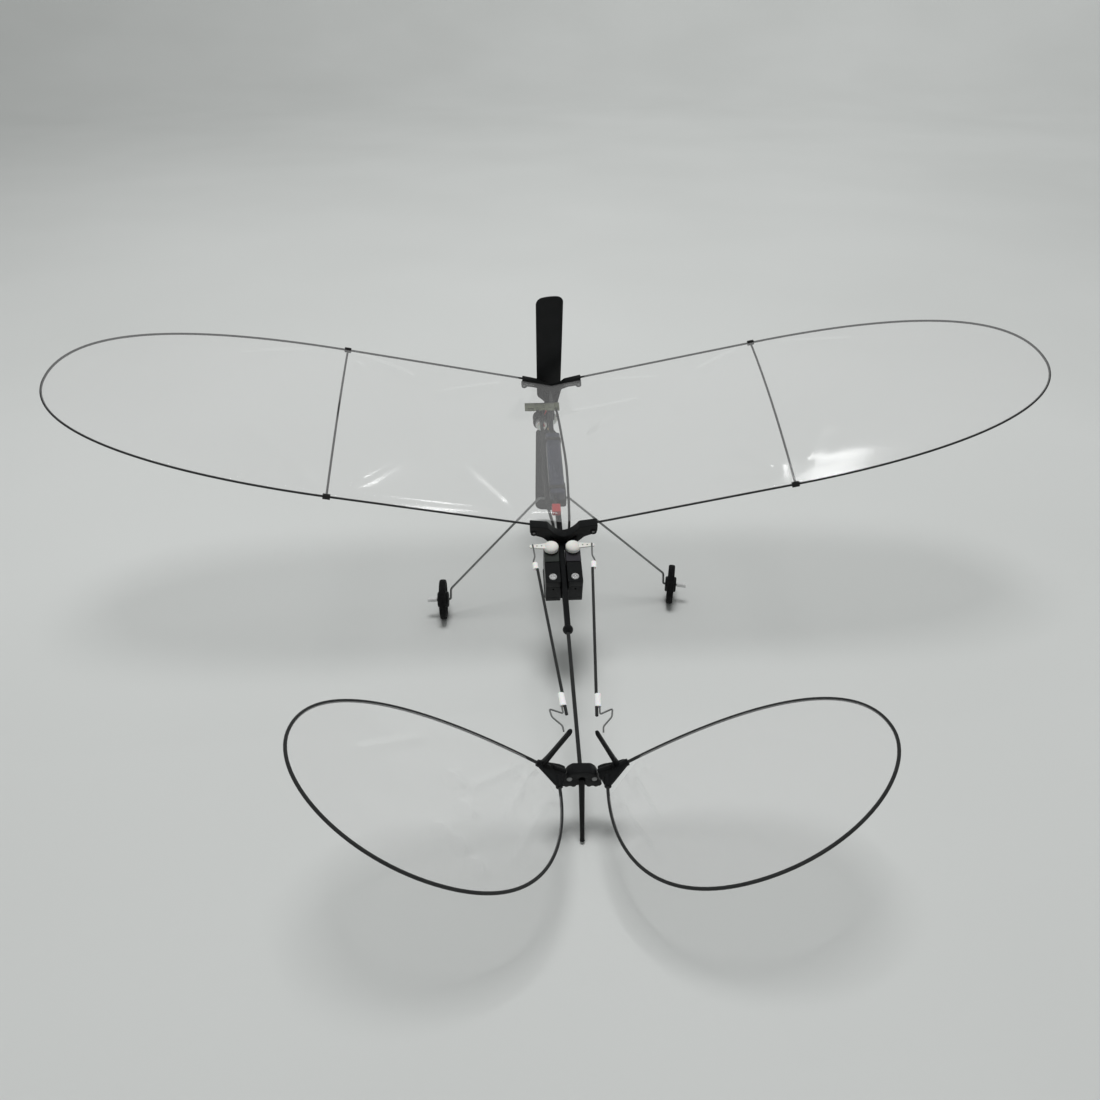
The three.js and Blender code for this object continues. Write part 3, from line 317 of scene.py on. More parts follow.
def plate(outline, low, high, matrix, edge, paint=0, into=None):
    """An outline in the matrix's X and Y, pushed from low to high along its Z, with rounded edges."""
    rings = []
    for inwards, along in edge_steps(edge, 3):
        rings.append([matrix @ Vector((p.x, p.y, low + along)) for p in inset(outline, inwards)])
    for inwards, along in reversed(edge_steps(edge, 3)):
        rings.append([matrix @ Vector((p.x, p.y, high - along)) for p in inset(outline, inwards)])
    return stack(rings, None, paint, into)


def block(low, high, corner, edge=0.2, paint=0, into=None, matrix=SPINE_FRAME):
    """A box with rounded corners, from its lowest corner to its highest."""
    outline = rounded(rectangle(low[0], low[1], high[0], high[1]), corner)
    return plate(outline, low[2], high[2], matrix, edge, paint, into)


def ball(centre, radius):
    turns = [pi * k / 24 for k in range(25)]
    profile = [(max(radius * sin(t), 0) if 0 < k < 24 else 0, -radius * cos(t))
               for k, t in enumerate(turns)]
    return lathe(profile, Matrix.Translation(centre), 48)


def placed(name, data):
    """A new object in the scene."""
    made = bpy.data.objects.new(name, data)
    bpy.context.scene.collection.objects.link(made)
    return made


def as_object(solid):
    """The solid as an object, its faces all turned outwards."""
    mesh = bpy.data.meshes.new("solid")
    mesh.from_pydata(solid.points, [], solid.faces)
    mesh.polygons.foreach_set("material_index", solid.paints)
    if any(g.length_squared > 0 for g in solid.grain):
        layer = mesh.attributes.new("grain", "FLOAT_VECTOR", "POINT")
        layer.data.foreach_set("vector", [c for g in solid.grain for c in g])
    surface = bmesh.new()
    surface.from_mesh(mesh)
    bmesh.ops.recalc_face_normals(surface, faces=surface.faces)
    surface.to_mesh(mesh)
    surface.free()
    return placed("solid", mesh)


def apply_modifiers(thing):
    bpy.context.view_layer.update()
    shape = bpy.data.meshes.new_from_object(thing.evaluated_get(bpy.context.evaluated_depsgraph_get()))
    thing.modifiers.clear()
    thing.data = shape


def combine(thing, operation, *tools):
    """Joins the tools to the thing with UNION, or cuts them from it with DIFFERENCE."""
    for tool in tools:
        other = as_object(tool)
        modifier = thing.modifiers.new("combine", "BOOLEAN")
        modifier.operation = operation
        modifier.solver = "MANIFOLD"
        modifier.object = other
        apply_modifiers(thing)
        bpy.data.objects.remove(other)
    return thing


def joined(first, *others):
    return combine(as_object(first), "UNION", *others)


def cut(thing, *tools):
    return combine(thing, "DIFFERENCE", *tools)


def soften(thing, width):
    """Rounds the sharp edges that cutting and joining leave."""
    modifier = thing.modifiers.new("soften", "BEVEL")
    modifier.width = width
    modifier.segments = 2
    modifier.limit_method = "ANGLE"
    modifier.angle_limit = radians(42)
    apply_modifiers(thing)
    return thing


# ---------------------------------------------------------------- materials

def inputs_of(material):
    return material.node_tree.nodes["Principled BSDF"].inputs


def new_material(name, colour, roughness, metallic=0.0, **sockets):
    """A Principled material. sockets gives more of its inputs by name, with _ for a space."""
    material = bpy.data.materials.new(name)
    material.use_nodes = True
    values = {"Base Color": (*colour, 1), "Roughness": roughness, "Metallic": metallic, **sockets}
    for socket, value in values.items():
        inputs_of(material)[socket.replace("_", " ")].default_value = value
    return material


def node(material, kind, **settings):
    made = material.node_tree.nodes.new("ShaderNode" + kind)
    for key, value in settings.items():
        setattr(made, key, value)
    return made


def link(material, start, end):
    material.node_tree.links.new(start, end)


def ramp(material, factor, stops):
    """A colour ramp from a factor; stops are (place, colour)."""
    made = node(material, "ValToRGB")
    for element, (place, colour) in zip(made.color_ramp.elements, (stops[0], stops[-1])):
        element.position, element.color = place, (*colour, 1)
    for place, colour in stops[1:-1]:
        made.color_ramp.elements.new(place).color = (*colour, 1)
    link(material, factor, made.inputs["Fac"])
    return made.outputs["Color"]


def to_range(material, value, low, high):
    made = node(material, "MapRange")
    made.inputs["To Min"].default_value = low
    made.inputs["To Max"].default_value = high
    link(material, value, made.inputs["Value"])
    return made.outputs["Result"]


def pattern(material, scale, source="Object", stretch=(1, 1, 1), detail=3):
    """Noise over the piece's own place, or along the grain of a rod."""
    if source == "grain":
        coordinates = node(material, "Attribute", attribute_name="grain").outputs["Vector"]
    else:
        coordinates = node(material, "TexCoord").outputs[source]
    mapping = node(material, "Mapping")
    mapping.inputs["Scale"].default_value = stretch
    link(material, coordinates, mapping.inputs["Vector"])
    made = node(material, "TexNoise")
    made.inputs["Scale"].default_value = scale
    made.inputs["Detail"].default_value = detail
    link(material, mapping.outputs["Vector"], made.inputs["Vector"])
    return made.outputs["Fac"]


def relief(material, height, distance, strength):
    made = node(material, "Bump")
    made.inputs["Distance"].default_value = distance
    made.inputs["Strength"].default_value = strength
    link(material, height, made.inputs["Height"])
    link(material, made.outputs["Normal"], inputs_of(material)["Normal"])


def textured(name, dark, light, roughness, grain_scale, grain_depth, metallic=0.0, source="Object",
             stretch=(1, 1, 1), blotch_scale=90, **sockets):
    """Colour that drifts between two tones, uneven gloss, and a fine surface grain."""
    material = new_material(name, light, sum(roughness) / 2, metallic, **sockets)
    blotches = pattern(material, blotch_scale, source, stretch)
    link(material, ramp(material, blotches, [(0.3, dark), (0.7, light)]), inputs_of(material)["Base Color"])
    fine = pattern(material, grain_scale, source, stretch, 4)
    link(material, to_range(material, fine, *roughness), inputs_of(material)["Roughness"])
    relief(material, fine, grain_depth, 0.6)
    return material


def grey(level):
    return (level, level, level)


def film_material():
    """Clear film: nearly all of the light goes through, and the rest is a sharp, slightly milky gloss."""
    material = new_material("clear_film", grey(0.95), 0.14, 0.5, Alpha=0.125)
    ripples = pattern(material, 32, stretch=(0.45, 1, 1), detail=1)
    relief(material, ripples, 0.0011, 0.7)
    link(material, to_range(material, ripples, 0.11, 0.17), inputs_of(material)["Roughness"])
    return material


MATERIALS = {}  # by the name of the CAD's material slot


def slot_look(name, *look, **sockets):
    MATERIALS[name] = textured(name, *look, **sockets)


slot_look("moulded_nylon", (0.004, 0.0045, 0.005), (0.008, 0.0085, 0.009), (0.42, 0.6), 7000, 0.00002,
          Specular_IOR_Level=0.25)
slot_look("propeller_plastic", (0.0045, 0.005, 0.0055), (0.009, 0.0095, 0.0105), (0.34, 0.46), 5200,
          0.00001, Specular_IOR_Level=0.2)
slot_look("carbon_rod", (0.01, 0.011, 0.011), (0.03, 0.031, 0.031), (0.36, 0.62), 7, 0.00003,
          source="grain", stretch=(2.2, 2.2, 0.08), blotch_scale=3)
slot_look("steel_wire", (0.2, 0.205, 0.205), (0.36, 0.365, 0.36), (0.3, 0.46), 6, 0.00002, 0.75,
          source="grain", stretch=(2, 2, 0.1), blotch_scale=2.4)
slot_look("white_nylon", (0.76, 0.76, 0.71), (0.88, 0.88, 0.85), (0.36, 0.5), 5000, 0.00001,
          Subsurface_Weight=0.12, Subsurface_Scale=0.0006)
slot_look("milky_sleeve", (0.84, 0.85, 0.84), (0.95, 0.95, 0.94), (0.22, 0.34), 3000, 0.00001,
          Subsurface_Weight=0.25, Subsurface_Scale=0.0008)
slot_look("motor_steel", (0.4, 0.4, 0.41), (0.58, 0.58, 0.58), (0.2, 0.36), 2600, 0.00001, 0.95,
          stretch=(1, 0.08, 1))
slot_look("brass", (0.5, 0.33, 0.11), (0.72, 0.5, 0.2), (0.22, 0.38), 3000, 0.00001, 0.95)
slot_look("battery_wrap", (0.012, 0.014, 0.024), (0.05, 0.055, 0.085), (0.16, 0.34), 700, 0.0001,
          stretch=(1, 0.12, 1))
slot_look("circuit_board", (0.1, 0.12, 0.07), (0.19, 0.2, 0.14), (0.3, 0.5), 4000, 0.00001,
          blotch_scale=600)
slot_look("lead_insulation", (0.33, 0.012, 0.014), (0.5, 0.03, 0.03), (0.3, 0.45), 2500, 0.00001)
slot_look("servo_plastic", (0.004, 0.0045, 0.005), (0.008, 0.0085, 0.009), (0.3, 0.46), 6000, 0.000012,
          Specular_IOR_Level=0.25)
slot_look("servo_lid_plastic", (0.032, 0.036, 0.035), (0.052, 0.056, 0.055), (0.34, 0.5), 6000, 0.000012)
slot_look("foam_tyre", (0.004, 0.004, 0.0045), (0.011, 0.011, 0.0115), (0.75, 0.95), 3600, 0.00016,
          blotch_scale=700, Specular_IOR_Level=0.2)
MATERIALS["clear_film"] = film_material()
BLACK_LEAD = textured("black_lead", grey(0.008), grey(0.016), (0.34, 0.5), 2500, 0.00001)
CHIP = textured("chip_package", grey(0.012), grey(0.022), (0.35, 0.5), 5000, 0.00001)
SOLDER = textured("solder", grey(0.5), grey(0.7), (0.2, 0.34), 3000, 0.00002, 0.9)
BRIGHT_METAL = textured("bright_screw", grey(0.72), grey(0.9), (0.16, 0.3), 2400, 0.00001, 0.7)
PIN_METAL = textured("pin_end", grey(0.2), grey(0.3), (0.3, 0.46), 2600, 0.00001, 0.6)
THREAD = textured("binding_thread", grey(0.01), grey(0.024), (0.6, 0.85), 2600, 0.00006)
CLEAR_TUBE = textured(
    "clear_tube", (0.86, 0.87, 0.86), (0.95, 0.95, 0.95), (0.1, 0.22), 2600, 0.00001, Alpha=0.55)

BODY_OF = {member: body for body, members in frame["record"]["behaviour"]["bodies"].items()
           for member in members}
SLOT_OF = {part["node"]: part["material_slot"] for part in frame["record"]["subparts"]}


def piece(name, source, like, replaces=(), paints=None, sharp=38):
    """A finished piece that rides with the CAD node it is like, in that node's material or in paints."""
    thing = source if isinstance(source, bpy.types.Object) else as_object(source)
    thing.name = thing.data.name = name
    thing.data.transform(Matrix.Scale(MM, 4) @ Matrix.Translation((0, -LENGTH_MIDDLE_Y, 0)))
    thing.data.materials.clear()
    for material in paints or [MATERIALS[SLOT_OF[like]]]:
        thing.data.materials.append(material)
    thing.data.shade_smooth()
    thing.data.set_sharp_from_angle(angle=radians(sharp))
    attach(thing, BODY_OF[like])
    if replaces:
        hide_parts(*replaces)
    return thing


def fine(source, cad_node, **settings):
    """A finished piece that stands for one CAD node."""
    return piece("fine_" + cad_node, source, cad_node, [cad_node], **settings)


def carry_over(*names):
    """Gives CAD nodes that stay their material and smooth shading."""
    for name in names:
        mesh = frame["nodes"][name].data
        mesh.materials.clear()
        mesh.materials.append(MATERIALS[SLOT_OF[name]])
        mesh.shade_smooth()
        mesh.set_sharp_from_angle(angle=radians(32))


# ---------------------------------------------------------------- camera, light and backdrop

CAMERA = {"place": (-25.06, -299.69, 269.88), "yaw": -0.058, "pitch": -0.58, "roll": 0.002, "lens": 28.505}


def make_camera():
    camera = placed("camera", bpy.data.cameras.new("camera"))
    camera.data.lens = CAMERA["lens"]
    camera.data.sensor_width = 36
    camera.data.clip_start = 0.01
    x, y, z = CAMERA["place"]
    yaw, pitch = CAMERA["yaw"], CAMERA["pitch"]
    ahead = Vector((-sin(yaw) * cos(pitch), cos(yaw) * cos(pitch), sin(pitch)))
    right = Vector((cos(yaw), sin(yaw), 0))
    up = right.cross(ahead)
    roll = Matrix.Rotation(-CAMERA["roll"], 3, ahead)
    turn = axes(roll @ right, roll @ up, -ahead)
    camera.matrix_world = Matrix.Translation(Vector((x, y - LENGTH_MIDDLE_Y, z)) * MM) @ turn
    bpy.context.scene.camera = camera


def area_light(name, place, target, size, power, mirrored=True):
    lamp = bpy.data.lights.new(name, "AREA")
    lamp.shape = "SQUARE"
    lamp.size = size
    lamp.energy = power
    made = placed(name, lamp)
    made.visible_glossy = mirrored
    aim = (Vector(target) - Vector(place)).normalized()
    made.matrix_world = Matrix.Translation(place) @ aim.to_track_quat("-Z", "Y").to_matrix().to_4x4()


def make_light():
    world = bpy.data.worlds.new("studio")
    world.use_nodes = True
    world.node_tree.nodes["Background"].inputs["Color"].default_value = (0.97, 0.985, 0.975, 1)
    world.node_tree.nodes["Background"].inputs["Strength"].default_value = 0.29
    bpy.context.scene.world = world
    area_light("overhead", (-0.05, 0.14, 1.6), (0, 0.05, 0), 0.5, 16.5, mirrored=False)
    area_light("wall", (0.7, 1.5, 2.4), (0.5, 3.6, 0.9), 1.8, 36, mirrored=False)
    area_light("glint", (0.22, 0.2, 1.3), (0, 0.03, 0.07), 0.12, 0.22)
    bpy.context.scene.view_settings.view_transform = "Standard"


def make_backdrop():
    """A pale floor that curves up all round."""
    flat, curve, top = 2.2, 1.4, 2.4
    profile = [(0, 0)] + [(flat * k / 6, 0) for k in range(1, 7)]
    profile += [(flat + curve * sin(t), curve * (1 - cos(t)))
                for t in (pi / 2 * k / 16 for k in range(1, 17))]
    profile.append((flat + curve, top))
    points, faces, segments = [], [], 72
    for radius, height in profile[1:]:
        points += [(radius * cos(t), radius * sin(t), height) for t in circle(segments)]
    faces.append(list(range(segments)))
    for i in range(len(profile) - 2):
        for k in range(segments):
            a, b = i * segments + k, i * segments + (k + 1) % segments
            faces.append([a, a + segments, b + segments, b])
    mesh = bpy.data.meshes.new("floor")
    mesh.from_pydata(points, [], faces)
    mesh.shade_smooth()
    floor = placed("floor", mesh)
    material = new_material("floor", (0.6, 0.62, 0.61), 0.85, Specular_IOR_Level=0.1)
    clouds = pattern(material, 3, detail=2)
    link(material, ramp(material, clouds, [(0.3, (0.59, 0.604, 0.594)), (0.7, (0.622, 0.636, 0.627))]),
         inputs_of(material)["Base Color"])
    mesh.materials.append(material)


# ---------------------------------------------------------------- fuselage

def build_spine():
    tail, middle, nose = (SPINE_DEPTH[k] / 2 for k in ("tail", "servo", "nose"))
    end, servo_s = SPINE["length"], SERVO["rear"]
    side = rounded([(0, -tail), (servo_s, -middle, 6), (end, -nose, 1.4), (end, nose, 1.4),
                    (servo_s, middle, 6), (0, tail)], 0.3)
    stick = plate(side, -SPINE["half_width"], SPINE["half_width"], SIDE_FRAME, 0.35)
    top = SERVO["bottom"] - SEAT_GAP
    half, rear, front = (SERVO_TRAY[k] for k in ("half_width", "rear", "front"))
    tray = block((-half, rear, top - SERVO_TRAY["thickness"]), (half, front, top), 1.2)
    web = block((-1, rear + 0.4, top - 0.5), (1, front - 0.4, 0), 0.4, 0.05)
    collar = ball(spine_point(0, 0, 0), COLLAR_RADIUS)
    bore = bar(spine_point(0, -4, 0.2), spine_point(0, 10, 0.2), BOOM_RADIUS + 0.05)
    fine(soften(cut(joined(stick, tray, web, collar), bore), 0.1), "spine")

    boom = [spine_point(0, 7, 0.2), spine_point(0, -4, 0.2),
            Vector((TAIL["hub_x"], TAIL["hub_y"] + 1, TAIL["hub_z"] + 0.3))]
    fine(sweep(boom, BOOM_RADIUS, 28), "tail_boom")


# ---------------------------------------------------------------- wing

def swept_y(y, u):
    return y + WING["sweep"] * u


def tip_curve(edge_y, handle, bulge):
    """The curve of one edge rod from the rib to the wing tip, in u and y."""
    rib_u = WING["rib_u"]
    return bezier(
        Vector((rib_u, swept_y(edge_y, rib_u))), Vector((rib_u + handle, swept_y(edge_y, rib_u + handle))),
        Vector((WING["tip_u"], WING["tip_y"] + bulge)), Vector((WING["tip_u"], WING["tip_y"])), 48)


FRONT_TIP = tip_curve(WING["front_y"], WING["handle_front"], WING["front_bulge"])
REAR_TIP = tip_curve(WING["rear_y"], WING["handle_rear"], -WING["rear_bulge"])


def edge_point(sign, u, edge_y):
    """A point on a wing panel's front or rear rod, inside the rib."""
    return wing_point(sign, u, swept_y(edge_y, u))


def build_wing_loop(name, sign):
    flat = [(LOOP_START, WING["front_y"]), *FRONT_TIP, *reversed(REAR_TIP[:-1]), (LOOP_START, WING["rear_y"])]
    path = [wing_point(sign, u, y) for u, y in flat]
    fine(sweep(path, WING_ROD_RADIUS, 18), name + "_wing_loop")


def rib_lift(share):
    return 4 * WING["camber"] * share * (1 - share)


def build_rib(name, sign):
    rib_u = WING["rib_u"]
    front, rear = swept_y(WING["front_y"], rib_u), swept_y(WING["rear_y"], rib_u)
    shares = [0.006 + 0.988 * i / 32 for i in range(33)]
    path = [wing_point(sign, rib_u, front + (rear - front) * share, rib_lift(share)) for share in shares]
    fine(sweep(path, WING_ROD_RADIUS, 18), name + "_wing_rib")

    turns, pitch = 7, 0.44  # turns of thread round each joint, and the distance between them
    inner, outer = rib_u - turns * pitch / 2, rib_u + turns * pitch / 2
    profile = [(WING_ROD_RADIUS + 0.02, turns * pitch), (WING_ROD_RADIUS + 0.02, 0)]
    profile += [(WRAP_RADIUS - 0.14 + 0.14 * abs(sin(pi * k / 6)), turns * pitch * k / (turns * 6))
                for k in range(turns * 6 + 1)]
    for end, edge_y in (("front", WING["front_y"]), ("rear", WING["rear_y"])):
        start = edge_point(sign, inner, edge_y)
        along = edge_point(sign, outer, edge_y) - start
        matrix = Matrix.Translation(start) @ along.to_track_quat("Z", "Y").to_matrix().to_4x4()
        thread = lathe(profile, matrix, 36)
        piece(f"{name}_{end}_rib_binding", thread, name + "_wing_rib", paints=[THREAD])


def bracket_outline(half, arch_middle):
    """A bracket's outline in x and h: half of it mirrored, with a curved arch between its two arms."""
    top_x, top_h = half[-1]
    handle = 2 * arch_middle - top_h  # the height of the curve's handle that puts its middle at arch_middle
    arch = []
    for i in range(1, 16):
        t = i / 16
        arch.append((top_x * (1 - 2 * t), top_h * (1 - 2 * t * (1 - t)) + handle * 2 * t * (1 - t), 0.05))
    return rounded([*half, *arch, *mirror(half)], 0.7)


def build_wing_bracket(cad_node, edge_y, s, half_depth, half, arch_middle, slot, boss, spine_half):
    low, high = s - half_depth, s + half_depth
    matrix = CROSS_FRAME @ Matrix.Translation((-SPINE["x"], 0, 0))
    body = plate(bracket_outline(half, arch_middle), low, high, matrix, 0.3)
    clearance = SPINE["half_width"] + 0.1
    cutters = [block((-clearance, low - 1, -spine_half - 0.1), (clearance, high + 1, spine_half + 0.1),
                     0.05, 0.02)]
    bosses = []
    for name, sign in SIDES:
        def on_boss(start, end, radius, sides, edge, x=sign * boss[0]):
            """A bar along the boss's own axis, from one depth to another."""
            ends = [matrix @ Vector((x, boss[1], depth)) for depth in (start, end)]
            return bar(*ends, radius, sides, edge)

        bosses.append(on_boss(low - 0.4, high, 1.5, 40, 0.25))
        cutters.append(on_boss(low - 1, low + 0.8, 0.75, 28, 0.05))
        rod = [wing_point(sign, LOOP_START - 1, edge_y), edge_point(sign, 21, edge_y)]
        cutters.append(bar(*rod, WING_ROD_RADIUS + 0.04, 24))
        (x0, h0), (x1, h1), height = slot
        corners = [(sign * x0, h0), (sign * x1, h1), (sign * x1, h1 + height), (sign * x0, h0 + height)]
        cutters.append(plate(rounded(corners, 0.5), low - 1, high + 1, matrix, 0.02))
        pin = on_boss(low - 0.15, low + 0.75, 0.66, 28, 0.18)
        piece(f"{cad_node}_pin_{name}", pin, cad_node, paints=[PIN_METAL])
    fine(soften(cut(joined(body, *bosses), *cutters), 0.1), cad_node)


def build_wing_brackets():
    build_wing_bracket(
        "front_wing_bracket", WING["front_y"], 147.3, 1.5,
        [(3.4, -1.6), (3.6, 3), (5.2, 11), (8.6, 12.4), (13.2, 13.2), (15, 14.6), (15, 18.2), (6.6, 16)],
        12.6, ((1.6, 6.8), (3.8, 9.2), 1.5), (14, 13.9), 2.4)
    build_wing_bracket(
        "rear_wing_bracket", WING["rear_y"], 48.6, 2.2,
        [(3.4, -2.6), (4, 0.2), (9.4, 6.2), (12.6, 7.6), (15, 9.4), (15, 13.6), (7, 12.4)],
        6.8, ((2.6, 3.4), (6, 6.4), 1.1), (13.2, 9.4), 2.26)


# ---------------------------------------------------------------- film

def crease(u, y, start, end, width, height):
    """The height at (u, y) of a fold that runs from start to end and fades at both."""
    along = Vector(end) - Vector(start)
    offset = Vector((u, y)) - Vector(start)
    share = offset.dot(along) / along.length_squared
    away = abs(offset.cross(along)) / along.length
    fade = max(0, min(share * 4, 1, (1 - share) * 4 + 1)) if share < 1.2 else 0
    return height * fade * exp(-(away / width) ** 2)


# Folds on each wing panel, in its own u and y: start, end, width and height.
WING_CREASES = {
    "left": [
        ((103, 120), (92, 117), 2.2, 1.1), ((93, 117), (74, 109), 2.4, 1.2), ((101, 117), (88, 92), 2.6, 0.6),
        ((96, 33), (70, 58), 3, 0.6), ((98, 30), (40, 33.5), 2.4, 0.9), ((20, 118), (58, 98), 3, 0.7),
        ((108, 121), (150, 104), 3, 0.6), ((107, 31), (140, 58), 3.2, 0.6), ((18, 34), (48, 62), 3, 0.5),
    ],
    "right": [
        ((4, 96), (40, 95), 2.6, 1.2), ((39, 94), (19, 79), 2.8, 0.8), ((100, 120), (76, 108), 3, 0.7),
        ((99, 33), (84, 52), 3, 0.9), ((101, 32), (72, 40), 2.4, 0.7), ((18, 118), (52, 108), 3, 0.6),
        ((107, 120), (146, 108), 3, 0.6), ((106, 31), (128, 62), 3, 0.25), ((18, 34), (50, 52), 3, 0.5),
    ],
}
PANEL_SHARE = 0.42  # the share of the film's columns that lies inside the rib
TIP_REACH = 0.992  # how far the film follows the tip's two curves
ROOT_SAG = 0.35  # the share of the rib's camber that the film keeps in the middle
NOTCH = {"u": 15.6, "run": 2.4, "front": 2.6, "rear": 3.2}  # where the film stops short of the brackets


def smooth_step(low, high, value):
    t = max(0, min((value - low) / (high - low), 1))
    return t * t * (3 - 2 * t)


def film_edges(share):
    """The front and rear edge points of the wing film at one share of the half span, in u and y."""
    if share < PANEL_SHARE:
        u = WING["rib_u"] * share / PANEL_SHARE
        back = smooth_step(NOTCH["u"] + NOTCH["run"], NOTCH["u"], u)
        front, rear = swept_y(WING["front_y"], u), swept_y(WING["rear_y"], u)
        return Vector((u, front - back * NOTCH["front"])), Vector((u, rear + back * NOTCH["rear"]))
    at = (share - PANEL_SHARE) / (1 - PANEL_SHARE) * (len(FRONT_TIP) - 1) * TIP_REACH
    i = min(int(at), len(FRONT_TIP) - 2)
    return FRONT_TIP[i].lerp(FRONT_TIP[i + 1], at - i), REAR_TIP[i].lerp(REAR_TIP[i + 1], at - i)


def film_camber(share):
    """The film's camber at a share of the half span, as a share of the rib's."""
    if share < PANEL_SHARE:
        return ROOT_SAG + (1 - ROOT_SAG) * share / PANEL_SHARE
    return cos((share - PANEL_SHARE) / (1 - PANEL_SHARE) * pi / 2)


def sheet_solid(point_at, columns, rows):
    """A closed sheet: point_at(column share, row share, lift)."""
    rings = []
    for i in range(columns + 1):
        low = [point_at(i / columns, j / rows, 0) for j in range(rows + 1)]
        high = [point_at(i / columns, j / rows, FILM_THICKNESS) for j in range(rows + 1)]
        rings.append(low + high[::-1])
    return stack(rings)


def wing_film_point(column, row, lift):
    """The film from the left tip, column 0, to the right tip, column 1, and from front to rear."""
    sign = -1 if column < 0.5 else 1
    share = abs(2 * column - 1)
    front, rear = film_edges(share)
    u, y = front.lerp(rear, row)
    crown = film_camber(share) * 4 * WING["camber"] * row * (1 - row)
    valley = 1.6 * max(0, 1 - u / NOTCH["u"])
    taut = min(row * 9, (1 - row) * 9, 1)  # the folds fade where the film lies on a rod
    folds = sum(crease(u, y, *fold) for fold in WING_CREASES["left" if sign < 0 else "right"])
    ripple = 0.3 * noise.noise(Vector((sign * u / 34, y / 17, 3.1)))
    lip = -0.5 * smooth_step(0.5, 0, row * 14) - 0.5 * smooth_step(0.5, 0, (1 - row) * 14)
    if u < NOTCH["u"]:
        lip *= 3 * (1 - u / NOTCH["u"]) + 0.4
    else:
        lip = 0
    return wing_point(sign, u, y, WING_FILM_LIFT + crown + valley + taut * (folds + ripple) + lip + lift)


def build_wing_film():
    made = piece("wing_film", sheet_solid(wing_film_point, 360, 84), "centre_wing_film",
                 ["centre_wing_film", "left_wing_film", "right_wing_film"], sharp=60)


# ---------------------------------------------------------------- power unit

def blade_chord(r):
    corner_start = PROPELLER["radius"] - PROPELLER["tip_corner"]
    root_chord, widening, full = 4.5, 7, 14  # the blade widens between these last two radii
    if r < full:
        return root_chord + (PROPELLER["chord"] - root_chord) * smooth_step(widening, full, r)
    if r < corner_start:
        return PROPELLER["chord"]
    into = r - corner_start
    corner = PROPELLER["tip_corner"]
    return PROPELLER["chord"] - 2 * (corner - sqrt(max(corner ** 2 - into ** 2, 0)))


def blade_section(r, turned_over):
    """A thin cambered section at radius r: flat below, rounded at its leading edge."""
    chord = blade_chord(r)
    twist = radians(26 - 15 * max(0, min((r - 10) / 57, 1)))  # 26 degrees at the root, 11 at the tip
    thickness = 2 - 1.3 * max(0, min(r / 40, 1))  # 2 mm at the root, 0.7 mm over the outer part
    camber = 0.055 * chord
    ring = []
    for turn in circle(40):
        c = 0.5 * cos(turn)
        middle = camber * (1 - (2 * c) ** 2)
        t = middle - camber / 2 + 0.5 * thickness * sin(turn) * (0.75 + 0.25 * cos(turn))
        x, y = c * chord, t
        side = -1 if turned_over else 1
        across = side * (x * cos(twist) - y * sin(twist))
        ring.append(POWER_FRAME @ Vector((across, x * sin(twist) + y * cos(twist), side * r)))
    return ring


def build_propeller():
    corner_start = PROPELLER["radius"] - PROPELLER["tip_corner"]
    radii = [0.5, 5, 7, 8, 9, 10, 11, 12, 13, 14, 18, 24, 32, 42, 53, corner_start]
    radii += [corner_start + PROPELLER["tip_corner"] * sin(pi / 2 * k / 9) for k in range(1, 9)]
    radii.append(PROPELLER["radius"] - 0.02)
    blades = [stack([blade_section(r, over) for r in radii]) for over in (False, True)]
    hub_radius = PROP_HUB["radius"]
    profile = [(0, -2.6), (hub_radius - 0.3, -2.6), (hub_radius, -2.3), (hub_radius, 1.4),
               (hub_radius - 0.12, 1.7), (2.9, 2.2), (2.4, 2.9), (1.7, 3.35), (0.8, 3.56), (0, 3.6)]
    hub = lathe(profile, POWER_FRAME @ ALONG_Y)

    def on_axis(start, end, *settings):
        return bar(POWER_FRAME @ Vector((0, start, 0)), POWER_FRAME @ Vector((0, end, 0)), *settings)

    fine(cut(joined(hub, *blades), on_axis(-4, 2, 0.55)), "propeller")
    fine(on_axis(-15.5, 1.8, 0.5, 28, 0.12), "propeller_shaft")
    collar = [(0.52, -15.3), (1.05, -15.3), (1.15, -15.2), (1.15, -14.95), (1.05, -14.85), (0.52, -14.85)]
    collet = lathe(collar, POWER_FRAME @ ALONG_Y, 40)
    piece("shaft_retainer", collet, "propeller_shaft", paints=[MATERIALS["brass"]])


